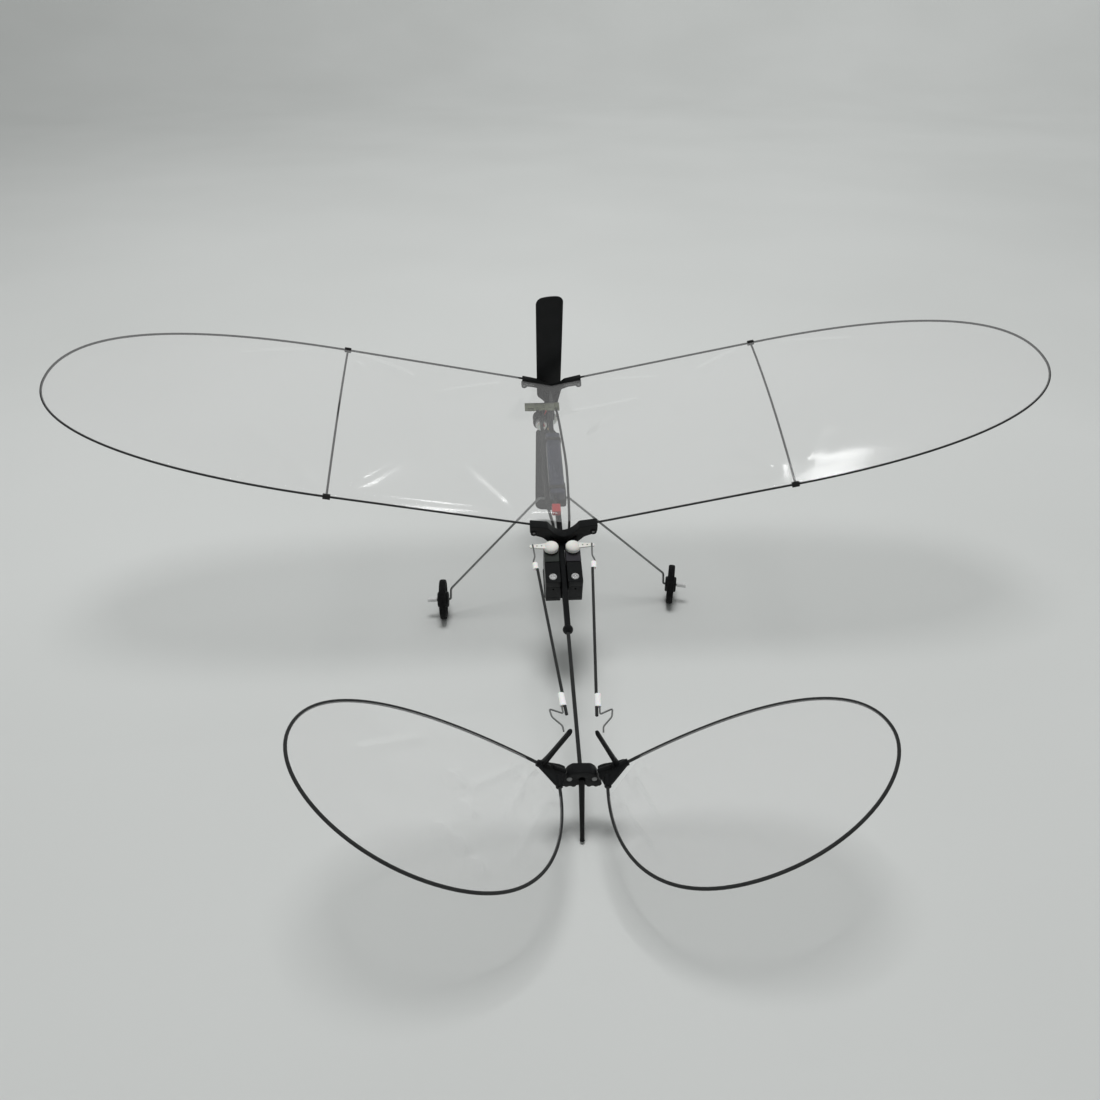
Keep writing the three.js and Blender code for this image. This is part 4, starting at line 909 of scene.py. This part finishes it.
def build_motor():
    bearing = radians(MOTOR["bearing"])
    offset = Vector((-MOTOR["distance"] * sin(bearing), 0, -MOTOR["distance"] * cos(bearing)))
    matrix = POWER_FRAME @ Matrix.Translation(offset) @ ALONG_Y
    radius, front = MOTOR["radius"], MOTOR["front"]
    rear = front - MOTOR["length"]
    can = lathe([
        (0, rear), (radius - 0.35, rear), (radius - 0.1, rear + 0.08), (radius, rear + 0.35),
        (radius, front - 0.35), (radius - 0.1, front - 0.08), (radius - 0.35, front), (1.3, front),
        (1.2, front + 0.25), (0.6, front + 0.25), (0.56, front - 1.4), (0, front - 1.4)], matrix, 64)
    fine(can, "motor_can")
    cap = lathe([
        (0, rear - 1.6), (1, rear - 1.6), (1.2, rear - 1.4), (1.2, rear - 1), (radius - 0.5, rear - 1),
        (radius - 0.3, rear - 0.8), (radius - 0.3, rear - 0.1), (0, rear - 0.1)], matrix, 56)
    fine(cap, "motor_end_cap")
    for k, (paint, side) in enumerate(((MATERIALS["lead_insulation"], 1.5), (BLACK_LEAD, -1.5))):
        start = matrix @ Vector((side, 0.6, rear - 1))
        behind = matrix @ Vector((side, 1.4, rear - 3.2))
        board = spine_point(-2.2 - 1.8 * k, BOARD["rear"] + 0.2, BOARD["bottom"] + 0.3)
        sagging = (behind + board) / 2 + Vector((-1.2, -1.4, 0.8))
        route = flowing([start, behind, sagging, board + Vector((0, -1.8, 0)), board])
        piece(f"motor_lead_{k + 1}", sweep(route, 0.24, 12, 0.05), "motor_end_cap", paints=[paint])
    carry_over("gearbox_frame", "spur_gear", "motor_pinion")


# ---------------------------------------------------------------- electrics

def build_battery():
    half, low, high = BATTERY["half_width"], BATTERY["bottom"], BATTERY["top"]
    rear, front = BATTERY["rear"], BATTERY["front"]
    fine(plate(rounded(rectangle(-half, low, half, high), 1.5, 8), rear, front, CROSS_FRAME, 0.9), "battery")
    stick = -SPINE_DEPTH["nose"] / 2
    for name, s in (("rear", rear + 4), ("front", front - 5)):
        band = rounded(rectangle(-half - 0.25, stick - 0.5, half + 0.25, high + 0.25), 1.7, 8)
        hollow = rounded(rectangle(-half - 0.1, stick - 0.3, half + 0.1, high + 0.1), 1.6, 8)
        outer = plate(band, s - 1.1, s + 1.1, CROSS_FRAME, 0.05)
        inner = plate(hollow, s - 2, s + 2, CROSS_FRAME, 0.02)
        piece(f"battery_band_{name}", cut(as_object(outer), inner), "battery", paints=[THREAD])


def build_board():
    left, right, rear, front = (BOARD[k] for k in ("left", "right", "rear", "front"))
    low, high = BOARD["bottom"], BOARD["top"]
    deck = low + 0.6
    board = block((left, rear, low), (right, front, deck), 0.3, 0.06)
    chip, solder = 1, 2
    parts = [((-11.6, 139.6), (-8.4, 143.4), high, chip), ((-6.6, 140.2), (-4.6, 142.6), deck + 0.45, chip),
             ((2.2, 139.4), (4.4, 143.8), high, chip), ((-3.6, 142.2), (-2.4, 142.9), deck + 0.35, solder),
             ((-3.6, 140.6), (-2.4, 141.3), deck + 0.35, solder),
             ((-7.9, 143.4), (-6.9, 144), deck + 0.3, solder)]
    for (x0, s0), (x1, s1), top, paint in parts:
        block((x0, s0, deck - 0.02), (x1, s1, top), 0.12, 0.06, paint, board)
    for k in range(5):
        x = -11.2 + 0.62 * k
        for s0, s1 in ((139.05, 139.58), (143.42, 143.95)):
            block((x, s0, deck - 0.02), (x + 0.26, s1, deck + 0.2), 0.04, 0.03, solder, board)
    fine(board, "receiver_board", paints=[MATERIALS["circuit_board"], CHIP, SOLDER])


# Each lead's route on the stick's axes: x, s and h. The left one comes through the rear bracket's slot.
BATTERY_LEAD_ROUTE = [(-1.2, 72.7, 5.4), (-1.4, 69, 5.6), (-3.2, 66.6, 6), (-5, 70, 6), (-5.2, 90, 5.4),
                      (-5.1, 112, 4.8), (-5.2, 128, 4.4), (-6.6, 138.4, 3.9)]
SERVO_LEAD_ROUTES = {
    "left": [(-3.2, 45, -2.4), (-2.9, 46, 1.8), (-2.7, 47.2, 4.5), (-2.9, 50.2, 4.9), (-3.1, 56, 4.6),
             (-4.4, 66, 3.4), (-5.5, 78, 2.6), (-5.8, 98, 2.4), (-5, 120, 2.4), (-4, 132, 3),
             (-3.4, 138.4, 3.7)],
    "right": [(3.2, 45, -4), (3.6, 54, -4), (4.9, 62, -2.6), (5.4, 74, 0.4), (5.8, 98, 2), (4.8, 120, 2.4),
              (3.9, 133, 3), (3.2, 138.4, 3.7)],
}


def build_leads():
    twin = Solid()
    for paint, offset in ((0, 0.36), (1, -0.36)):
        route = flowing([spine_point(x + offset, s, h) for x, s, h in BATTERY_LEAD_ROUTE])
        sweep(route, 0.33, 14, 0.05, paint, twin)
    fine(twin, "battery_lead", paints=[BLACK_LEAD, BLACK_LEAD])
    plug = block((-3.1, 62.4, 3.6), (0.9, 67.6, 6.4), 0.4, 0.3)
    for x in (-2.1, -0.2):
        block((x - 0.45, 61.9, 4.4), (x + 0.45, 62.5, 5.5), 0.15, 0.1, 1, plug)
    piece("battery_plug", plug, "battery_lead", paints=[MATERIALS["lead_insulation"], BLACK_LEAD])
    for name, _ in SIDES:
        ribbon = Solid()
        for offset in (-0.5, 0, 0.5):
            rise = offset * (0.62 if name == "left" else 0.2)
            stops = [spine_point(x + offset * 0.72, s, h + rise) for x, s, h in SERVO_LEAD_ROUTES[name]]
            route = flowing(stops)
            red = len(route) // 2 if name == "left" else 0  # how many of its points lie in the red length
            if red:
                sweep(route[:red + 1], 0.24, 12, 0.05, 1, ribbon)
            sweep(route[red:], 0.24, 12, 0.05, 0, ribbon)
        fine(ribbon, name + "_servo_lead", paints=[BLACK_LEAD, MATERIALS["lead_insulation"]])


# ---------------------------------------------------------------- servos and pushrods

LID_TINTS = {"left": (0.024, 0.029, 0.026), "right": (0.029, 0.027, 0.033)}


def build_servo(name, sign):
    x0, x1 = sign * SERVO["x"] - SERVO["width"] / 2, sign * SERVO["x"] + SERVO["width"] / 2
    rear, front, low, top = SERVO["rear"], SERVO["front"], SERVO["bottom"], SERVO["top"]
    case = block((x0, rear, low), (x1, front, top - 1.95), 0.5, 0.25)
    deck = block((x0, rear, top - 2.6), (x1, SERVO_COVER_REAR - 0.12, top), 0.5, 0.25)
    groove = Solid()
    for h in (-6.6, 0.4):  # the seams between base, case and lid
        outer = rounded(rectangle(x0 - 0.5, rear - 0.5, x1 + 0.5, front + 0.5), 0.5)
        seam = plate(outer, h - 0.07, h + 0.07, SPINE_FRAME, 0.01)
        core = block((x0 + 0.14, rear + 0.14, h - 0.2), (x1 - 0.14, front - 0.14, h + 0.2), 0.4, 0.01)
        ring = cut(as_object(seam), core)
        groove.add([v.co.copy() for v in ring.data.vertices], [list(p.vertices) for p in ring.data.polygons])
        bpy.data.objects.remove(ring)
    middle = sign * SERVO["x"]
    dimple = bar(spine_point(middle, rear - 1, -0.9), spine_point(middle, rear + 0.5, -0.9), 0.5, 24)
    pocket = bar(spine_point(middle, rear + 3, top - 0.35), spine_point(middle, rear + 3, top + 1), 1.85, 36)
    fine(soften(cut(joined(case, deck), groove, dimple, pocket), 0.05), name + "_servo_case")

    lid_material = textured(name + "_servo_lid", tuple(c * 0.8 for c in LID_TINTS[name]), LID_TINTS[name],
                            (0.34, 0.5), 6000, 0.000012)
    lid = block((x0, SERVO_COVER_REAR, top - 1.7), (x1, front, top + 0.3), 0.5, 0.25)
    shaft = spine_point(middle, SERVO["shaft"], 0)
    up = spine_point(0, 0, 1) - spine_point(0, 0, 0)
    neck = bar(shaft + up * top, shaft + up * (top + 0.8), 2.2, 40, 0.15)
    fine(joined(lid, neck), name + "_servo_lid", paints=[lid_material])

    turn = spine_axes(middle, rear + 3, top - 0.35)
    head = lathe([(0, 0), (1.75, 0), (1.75, 0.3), (1.6, 0.55), (1.05, 0.76), (0, 0.82)], turn, 48)
    slots = [block((-1.0, -0.16, 0.45), (1.0, 0.16, 1.2), 0.05, 0.02,
                   matrix=turn @ Matrix.Rotation(pi / 2 * k, 4, "Z")) for k in range(2)]
    piece(f"{name}_servo_screw", cut(as_object(head), *slots), f"{name}_servo_case", paints=[BRIGHT_METAL])
    build_servo_horn(name, sign)


def build_servo_horn(name, sign):
    top = SERVO["top"] + 0.9
    centre = spine_axes(sign * SERVO["x"], SERVO["shaft"], top)
    hub = lathe([(0, 0), (3, 0), (3.25, 0.2), (3.25, 1.3), (3.1, 1.75), (2.6, 2.3), (1.8, 2.75), (0.9, 2.97),
                 (0, 3.02)], centre, 64)
    arm = SERVO["arm"]
    low, high = HORN_BOTTOM - top - 0.1, HORN_TOP - top - 0.4
    corners = [(1.5 * sign, -1.7, 0.1), (arm * sign, -0.95, 0.6), ((arm + 1.25) * sign, -0.9, 0.9),
               ((arm + 1.25) * sign, 0.9, 0.9), (arm * sign, 0.95, 0.6), (1.5 * sign, 1.7, 0.1)]
    blade = plate(rounded(corners, 0.6), low, high, centre, 0.2)
    holes = []
    for x in (4.3, 6.3, arm):
        ends = [centre @ Vector((x * sign, 0, height)) for height in (low - 1, high + 1)]
        holes.append(bar(*ends, 0.34, 20))
    fine(soften(cut(joined(hub, blade), *holes), 0.08), name + "_servo_horn")


def build_pushrod(name, sign):
    front = spine_point(sign * (SERVO["x"] + SERVO["arm"]), SERVO["shaft"], HORN_TOP + 0.7)
    rear = tail_point(sign, TAIL["horn_u"][name], TAIL["hinge_v"], TAIL["horn_length"] - 1)
    length = (rear - front).length
    back = (rear - front).normalized()
    outward = (Vector((sign, 0, 0)) - back * sign * back.x).normalized()
    up = back.cross(outward)

    def at(distance, offset=0, lift=0):
        """A point by its distance from the servo arm along the rod, and beside and above the rod."""
        return front + back * distance + outward * offset + up * lift

    rod_start, rod_end, beside, horn_side = 14.2, length - 7.6, 1.15, 2.2
    front_wire = bent([at(0.2), at(rod_start - 6), at(rod_start - 3, beside), at(rod_start + 2, beside)], 1.2)
    fine(sweep(front_wire, WIRE_RADIUS - 0.04, 14, 0.1), f"{name}_pushrod_front_wire")
    fine(sweep([at(rod_start), at(rod_end)], PUSHROD_RADIUS, 20, 0.12), f"{name}_pushrod")
    rear_wire = bent([at(rod_end - 9.8, beside), at(rod_end - 0.7, beside), at(rod_end - 3.4, 5.8),
                      at(rod_end + 0.3, 5.4), at(rod_end + 4.7, horn_side), at(length - 0.4, horn_side)], 0.9)
    fine(sweep(rear_wire, WIRE_RADIUS - 0.08, 14, 0.1), f"{name}_pushrod_rear_wire")

    middle, half_width, half_height = beside / 2, 1.25, 0.85
    sleeves = (("front", rod_start - 1.8, rod_start + 2.2), ("rear", rod_end - 10, rod_end - 4))
    for end, start, stop in sleeves:
        profile = [(start, 0.82), (start + 0.12, 0.95), (start + 0.35, 1)]
        profile += [(start + 0.5 + (stop - start - 1) * k / 6, 1 - 0.03 * sin(pi * k / 6))
                    for k in range(7)]
        profile += [(stop - 0.35, 1), (stop - 0.12, 0.95), (stop, 0.82)]
        rings = [[at(distance, middle + half_width * size * cos(t), half_height * size * sin(t))
                  for t in circle(32)] for distance, size in profile]
        fine(stack(rings), f"{name}_pushrod_{end}_sleeve")


# ---------------------------------------------------------------- landing gear

def build_clamp():
    half, rear, front, low, high = (CLAMP[k] for k in ("half_width", "rear", "front", "bottom", "top"))
    body = plate(rounded([(-half, low, 1.4), (half, low, 1.4), (half, high, 0.9), (-half, high, 0.9)], 0.8),
                 rear, front, CROSS_FRAME, 0.35)
    inner = SPINE["half_width"] + 0.1
    channel = block((-inner, rear - 1, -SPINE_DEPTH["nose"] / 2 - 0.1), (inner, front + 1, high + 3),
                    0.05, 0.02)
    sockets = [bar(*(spine_point(sign * x, LEG_ROOT["s"], LEG_ROOT["h"]) for x in (2, 8)),
                   LEG_RADIUS + 0.05, 20) for _, sign in SIDES]
    fine(soften(cut(as_object(body), channel, *sockets), 0.15), "gear_clamp")


def wheel_frame(name, sign):
    """A wheel's middle, with its axle along X."""
    y = WHEEL["y"] + sign * WHEEL["stagger"]
    return (Matrix.Translation((sign * WHEEL["track"] / 2, y, WHEEL["radius"]))
            @ Matrix.Rotation(-sign * radians(WHEEL["toe"][name]), 4, "Z"))


def build_wheel(name, sign):
    place = wheel_frame(name, sign) @ axes((0, 0, 1), (0, 1, 0), (1, 0, 0))
    half, bore, hub = WHEEL["hub_width"] / 2, LEG_RADIUS + 0.08, WHEEL["hub_radius"]
    profile = [(bore, -half), (hub - 0.7, -half), (hub - 0.2, -half + 0.2), (hub, -half + 0.7), (hub, -0.95),
               (hub + 0.35, -0.6), (7.7, -0.55), (8, -0.85), (8.1, -1.15), (8.55, -1.15)]
    profile += [(radius, -along) for radius, along in reversed(profile)]
    holes = []
    for k in range(6):
        middle = Vector((6 * cos(pi * k / 3), 6 * sin(pi * k / 3), 0))
        holes.append(bar(*(place @ (middle + Vector((0, 0, depth))) for depth in (-3, 3)), 1.35, 28))
    wheel = cut(as_object(lathe(profile, place, 80)), *holes)
    fine(soften(wheel, 0.08), f"{name}_wheel_hub")
    tyre = [(8.57, -1.1), (8.9, -1.45), (9.3, -1.6), (9.7, -1.45), (9.92, -1.05), (10, -0.5)]
    tyre += [(radius, -along) for radius, along in reversed(tyre)]
    fine(lathe(tyre, place, 96), f"{name}_wheel_tyre")
    start = sign * (half + 0.4)
    tube = [(bore, start), (1.05, start), (1.2, start + sign * 0.15), (1.2, start + sign * 4.45),
            (1.05, start + sign * 4.6), (bore, start + sign * 4.6)]
    fine(lathe(tube, place, 40), f"{name}_wheel_retainer", paints=[CLEAR_TUBE])


def build_leg(name, sign):
    axle = wheel_frame(name, sign)
    corners = [spine_point(sign * LEG_ROOT["x"], LEG_ROOT["s"], LEG_ROOT["h"]),
               spine_point(sign * LEG_REACH[name], LEG_ROOT["s"], LEG_ROOT["h"])]
    corners += [axle @ Vector((sign * x, 0, z)) for x, z in ((-4.2, 6.4), (-3.8, 0), (7, 0))]
    fine(sweep(bent(corners, 1.1), LEG_RADIUS, 18, 0.12), name + "_gear_leg")


# ---------------------------------------------------------------- tail

def polar(angle, length):
    return Vector((cos(angle), sin(angle))) * length


TAIL_FRONT, TAIL_TIP = Vector((17.6, -1.3)), Vector((107.6, -24.5))
TAIL_REAR, TAIL_ROOT = Vector((48.4, -60.9)), Vector((9.7, -7.4))
LEADING = bezier(TAIL_FRONT, TAIL_FRONT + polar(0.16, 53), TAIL_TIP - polar(-1.49, 24.5), TAIL_TIP, 40)
OUTER = bezier(TAIL_TIP, TAIL_TIP + polar(-1.49, 19.2), TAIL_REAR - polar(3.065, 32.6), TAIL_REAR, 32)
INNER = bezier(TAIL_REAR, TAIL_REAR + polar(3.065, 33.4), TAIL_ROOT + polar(-1.697, 25.3), TAIL_ROOT, 36)
TAIL_RIM = LEADING + OUTER[1:] + INNER[1:]
ROD_ENDS = {"front": (14.4, -1.8), "root": (10.1, -4.6)}

# Folds on each tail film, in its own u and v: start, end, width and height.
TAIL_CREASES = {
    "left": [
        ((20, -3), (30, -26), 1.6, 0.45), ((24, -4), (42, -20), 1.5, 0.4),
        ((13, -12), (26, -40), 1.6, 0.4), ((48, -24), (51, -19), 2.4, 0.78),
        ((43, -34), (46, -29), 2.4, 0.78), ((60, -6), (84, -22), 1.8, 0.35),
        ((51, -45), (54, -40), 2.4, 0.78), ((45, -48), (48, -43), 2.4, 0.78),
        ((38, -54), (41, -49), 2.4, 0.78),
    ],
    "right": [
        ((20, -3), (27, -28), 1.6, 0.45), ((22, -3), (38, -22), 1.5, 0.4),
        ((13, -12), (24, -42), 1.6, 0.4), ((20, -34), (34, -44), 1.6, 0.4),
        ((64, -6), (86, -24), 1.8, 0.3), ((52, -40), (60, -52), 1.6, 0.35),
    ],
}


def along_curve(points, share):
    at = max(0, min(share, 1)) * (len(points) - 1)
    i = min(int(at), len(points) - 2)
    return points[i].lerp(points[i + 1], at - i)


def build_tail_film(name, sign):
    trailing = list(reversed(OUTER + INNER[1:]))

    def point(column, row, lift):
        share = 0.045 + 0.95 * column
        front, back = along_curve(LEADING, share), along_curve(trailing, share)
        margin = min(TAIL_FILM_INSET / max((back - front).length, 1), 0.4)
        at = front.lerp(back, margin + (1 - 2 * margin) * row)
        folds = sum(crease(at.x, at.y, *fold) for fold in TAIL_CREASES[name])
        ripple = 0.22 * noise.noise(Vector((sign * at.x / 22, at.y / 14, 7.7)))
        taut = min(row * 9, (1 - row) * 9, column * 12, (1 - column) * 9, 1)
        return tail_point(sign, at.x, at.y, TAIL_FILM_LIFT + taut * (folds + ripple) + lift)

    film = piece(f"{name}_tail_covering", sheet_solid(point, 150, 70), f"{name}_tail_film",
                 [f"{name}_tail_film"], sharp=60)


def build_tail_surface(name, sign):
    matrix = tail_frame(sign)

    def flat(u, v, lift=0):
        return matrix @ Vector((sign * u, v, lift))

    path = [flat(*ROD_ENDS["front"]), *(flat(p.x, p.y) for p in TAIL_RIM), flat(*ROD_ENDS["root"])]
    fine(sweep(path, TAIL_ROD_RADIUS, 18), name + "_tail_loop")
    build_tail_film(name, sign)

    corners = [(7, 1.5), (9.5, 1.6), (14, 0.6), (17.4, 0.5), (18.6, -0.6), (18.4, -2.2), (11.4, -8),
               (9.6, -8.9), (8.5, -8), (7.4, -4.2), (7, -3.8)]
    web = plate(rounded([(sign * u, v) for u, v in corners], 0.7), -0.65, 0.65, matrix, 0.25)
    hinge = TAIL["hinge_v"]
    sockets = [bar(flat(13.6, -1.9), flat(18.8, -1.1), WRAP_RADIUS, 36, 0.3),
               bar(flat(10.2, -4), flat(9.6, -8.9), WRAP_RADIUS, 36, 0.3),
               bar(flat(7, hinge), flat(12.4, hinge), WRAP_RADIUS, 36, 0.25)]
    horn_u, length = TAIL["horn_u"][name], TAIL["horn_length"]
    sections = [(-0.2, 1.7, 1.15), (1, 1.45, 1), (4, 1.15, 0.85), (9, 1, 0.78), (length - 3, 0.95, 0.74),
                (length - 1.6, 1.05, 0.74), (length - 0.7, 0.95, 0.66), (length - 0.2, 0.65, 0.5),
                (length, 0.25, 0.2)]
    squareness = 0.55  # a section's outline: 1 is an ellipse, 0 a rectangle
    rings = []
    for lift, half_v, half_u in sections:
        ring = []
        for t in circle(24):
            c, s = cos(t), sin(t)
            ring.append(flat(horn_u + half_u * copysign(abs(c) ** squareness, c),
                             hinge + half_v * copysign(abs(s) ** squareness, s), lift))
        rings.append(ring)
    horn = stack(rings)
    eye = bar(flat(horn_u - 2, hinge, length - 1.2), flat(horn_u + 2, hinge, length - 1.2), 0.36, 20)
    rod_bore = TAIL_ROD_RADIUS + 0.04
    bores = [bar(flat(6, hinge), flat(12.8, hinge), WIRE_RADIUS + 0.05, 20), eye,
             sweep([flat(14, -1.85), flat(17.6, -1.3), flat(22, -0.6)], rod_bore, 20, 0.05),
             sweep([flat(10.1, -4.3), flat(9.7, -7.4), flat(9.15, -11.4)], rod_bore, 20, 0.05)]
    fine(soften(cut(joined(web, *sockets, horn), *bores), 0.1), name + "_tail_bracket")
    fine(bar(flat(2.2, hinge), flat(12.2, hinge), WIRE_RADIUS, 24, 0.1), name + "_hinge_pin")


def flank_x(z):
    """Half the tail hub's width at a height, between its two sloping sides."""
    rise = radians(TAIL["dihedral"])
    return (TAIL["hub_side"] - z * sin(rise)) / cos(rise)


def build_tail_hub():
    low, high = HUB_BLOCK["bottom"], HUB_BLOCK["top"]
    half = [(1.4, low + 0.6), (2.6, low), (flank_x(low) - 1.2, low), (flank_x(low + 1), low + 1),
            (flank_x(high - 1.4), high - 1.4), (flank_x(high) - 1, high)]
    outline = rounded(half + mirror(half), 0.6)
    across = TAIL_ROLL @ axes((1, 0, 0), (0, 0, 1), (0, 1, 0))
    rear, front = HUB_BLOCK["rear"] - TAIL["hub_y"], HUB_BLOCK["front"] - TAIL["hub_y"]
    body = plate(outline, rear, front, across, 0.45)

    def at(x, y, z):
        return TAIL_ROLL @ Vector((x, y, z))

    lobes = [bar(at(x, rear + 0.25, low + 0.55), at(x, front - 0.4, low + 0.55), 1.15, 36, 0.3)
             for x in (-5.5, -2.9, 2.9, 5.5)]
    boom_end = Vector((TAIL["hub_x"], TAIL["hub_y"] + 1 - SEAT_GAP, TAIL["hub_z"] + 0.3))
    bores = [bar(boom_end, spine_point(0, 7, 0.2), BOOM_RADIUS + 0.04, 28),
             bar(at(0, -4.6, 2.4), at(0, -1.8, 0.4), 1.3, 28)]
    for name, sign in SIDES:
        bores.append(bar(tail_point(sign, 1.8, TAIL["hinge_v"]), tail_point(sign, 9, TAIL["hinge_v"]),
                         WIRE_RADIUS + 0.05, 20))
        bores.append(bar(at(sign * 4.6, rear - 1, 1.9), at(sign * 4.6, rear + 0.5, 1.9), 1.12, 36))
        pin = bar(at(sign * 4.6, rear - 0.1, 1.9), at(sign * 4.6, rear + 0.45, 1.9), 1.05, 36, 0.3)
        piece(f"{name}_hub_pin", pin, "tail_hub", paints=[PIN_METAL])
    fine(soften(cut(joined(body, *lobes), *bores), 0.1), "tail_hub")

    root = Vector((TAIL["hub_x"], HUB_BLOCK["rear"] + 0.6, TAIL["hub_z"] + 1.5))
    tip = Vector((TAIL["hub_x"], SKID_TIP["y"], SKID_TIP["radius"] + 0.02))
    radii = [1.15 - 0.32 * k / 12 for k in range(12)] + [0.86, 0.98, SKID_TIP["radius"] + 0.15]
    shares = [k / 12 * 0.94 for k in range(12)] + [0.95, 0.985, 1]
    skid = sweep([root.lerp(tip, share) for share in shares], radii, 28, 0.45)
    fine(skid, "tail_skid")


# ---------------------------------------------------------------- assembly

make_camera()
make_light()
make_backdrop()
build_spine()
build_wing_brackets()
build_wing_film()
build_propeller()
build_motor()
build_battery()
build_board()
build_leads()
build_clamp()
build_tail_hub()
for side_name, side_sign in SIDES:
    build_wing_loop(side_name, side_sign)
    build_rib(side_name, side_sign)
    build_servo(side_name, side_sign)
    build_pushrod(side_name, side_sign)
    build_leg(side_name, side_sign)
    build_wheel(side_name, side_sign)
    build_tail_surface(side_name, side_sign)
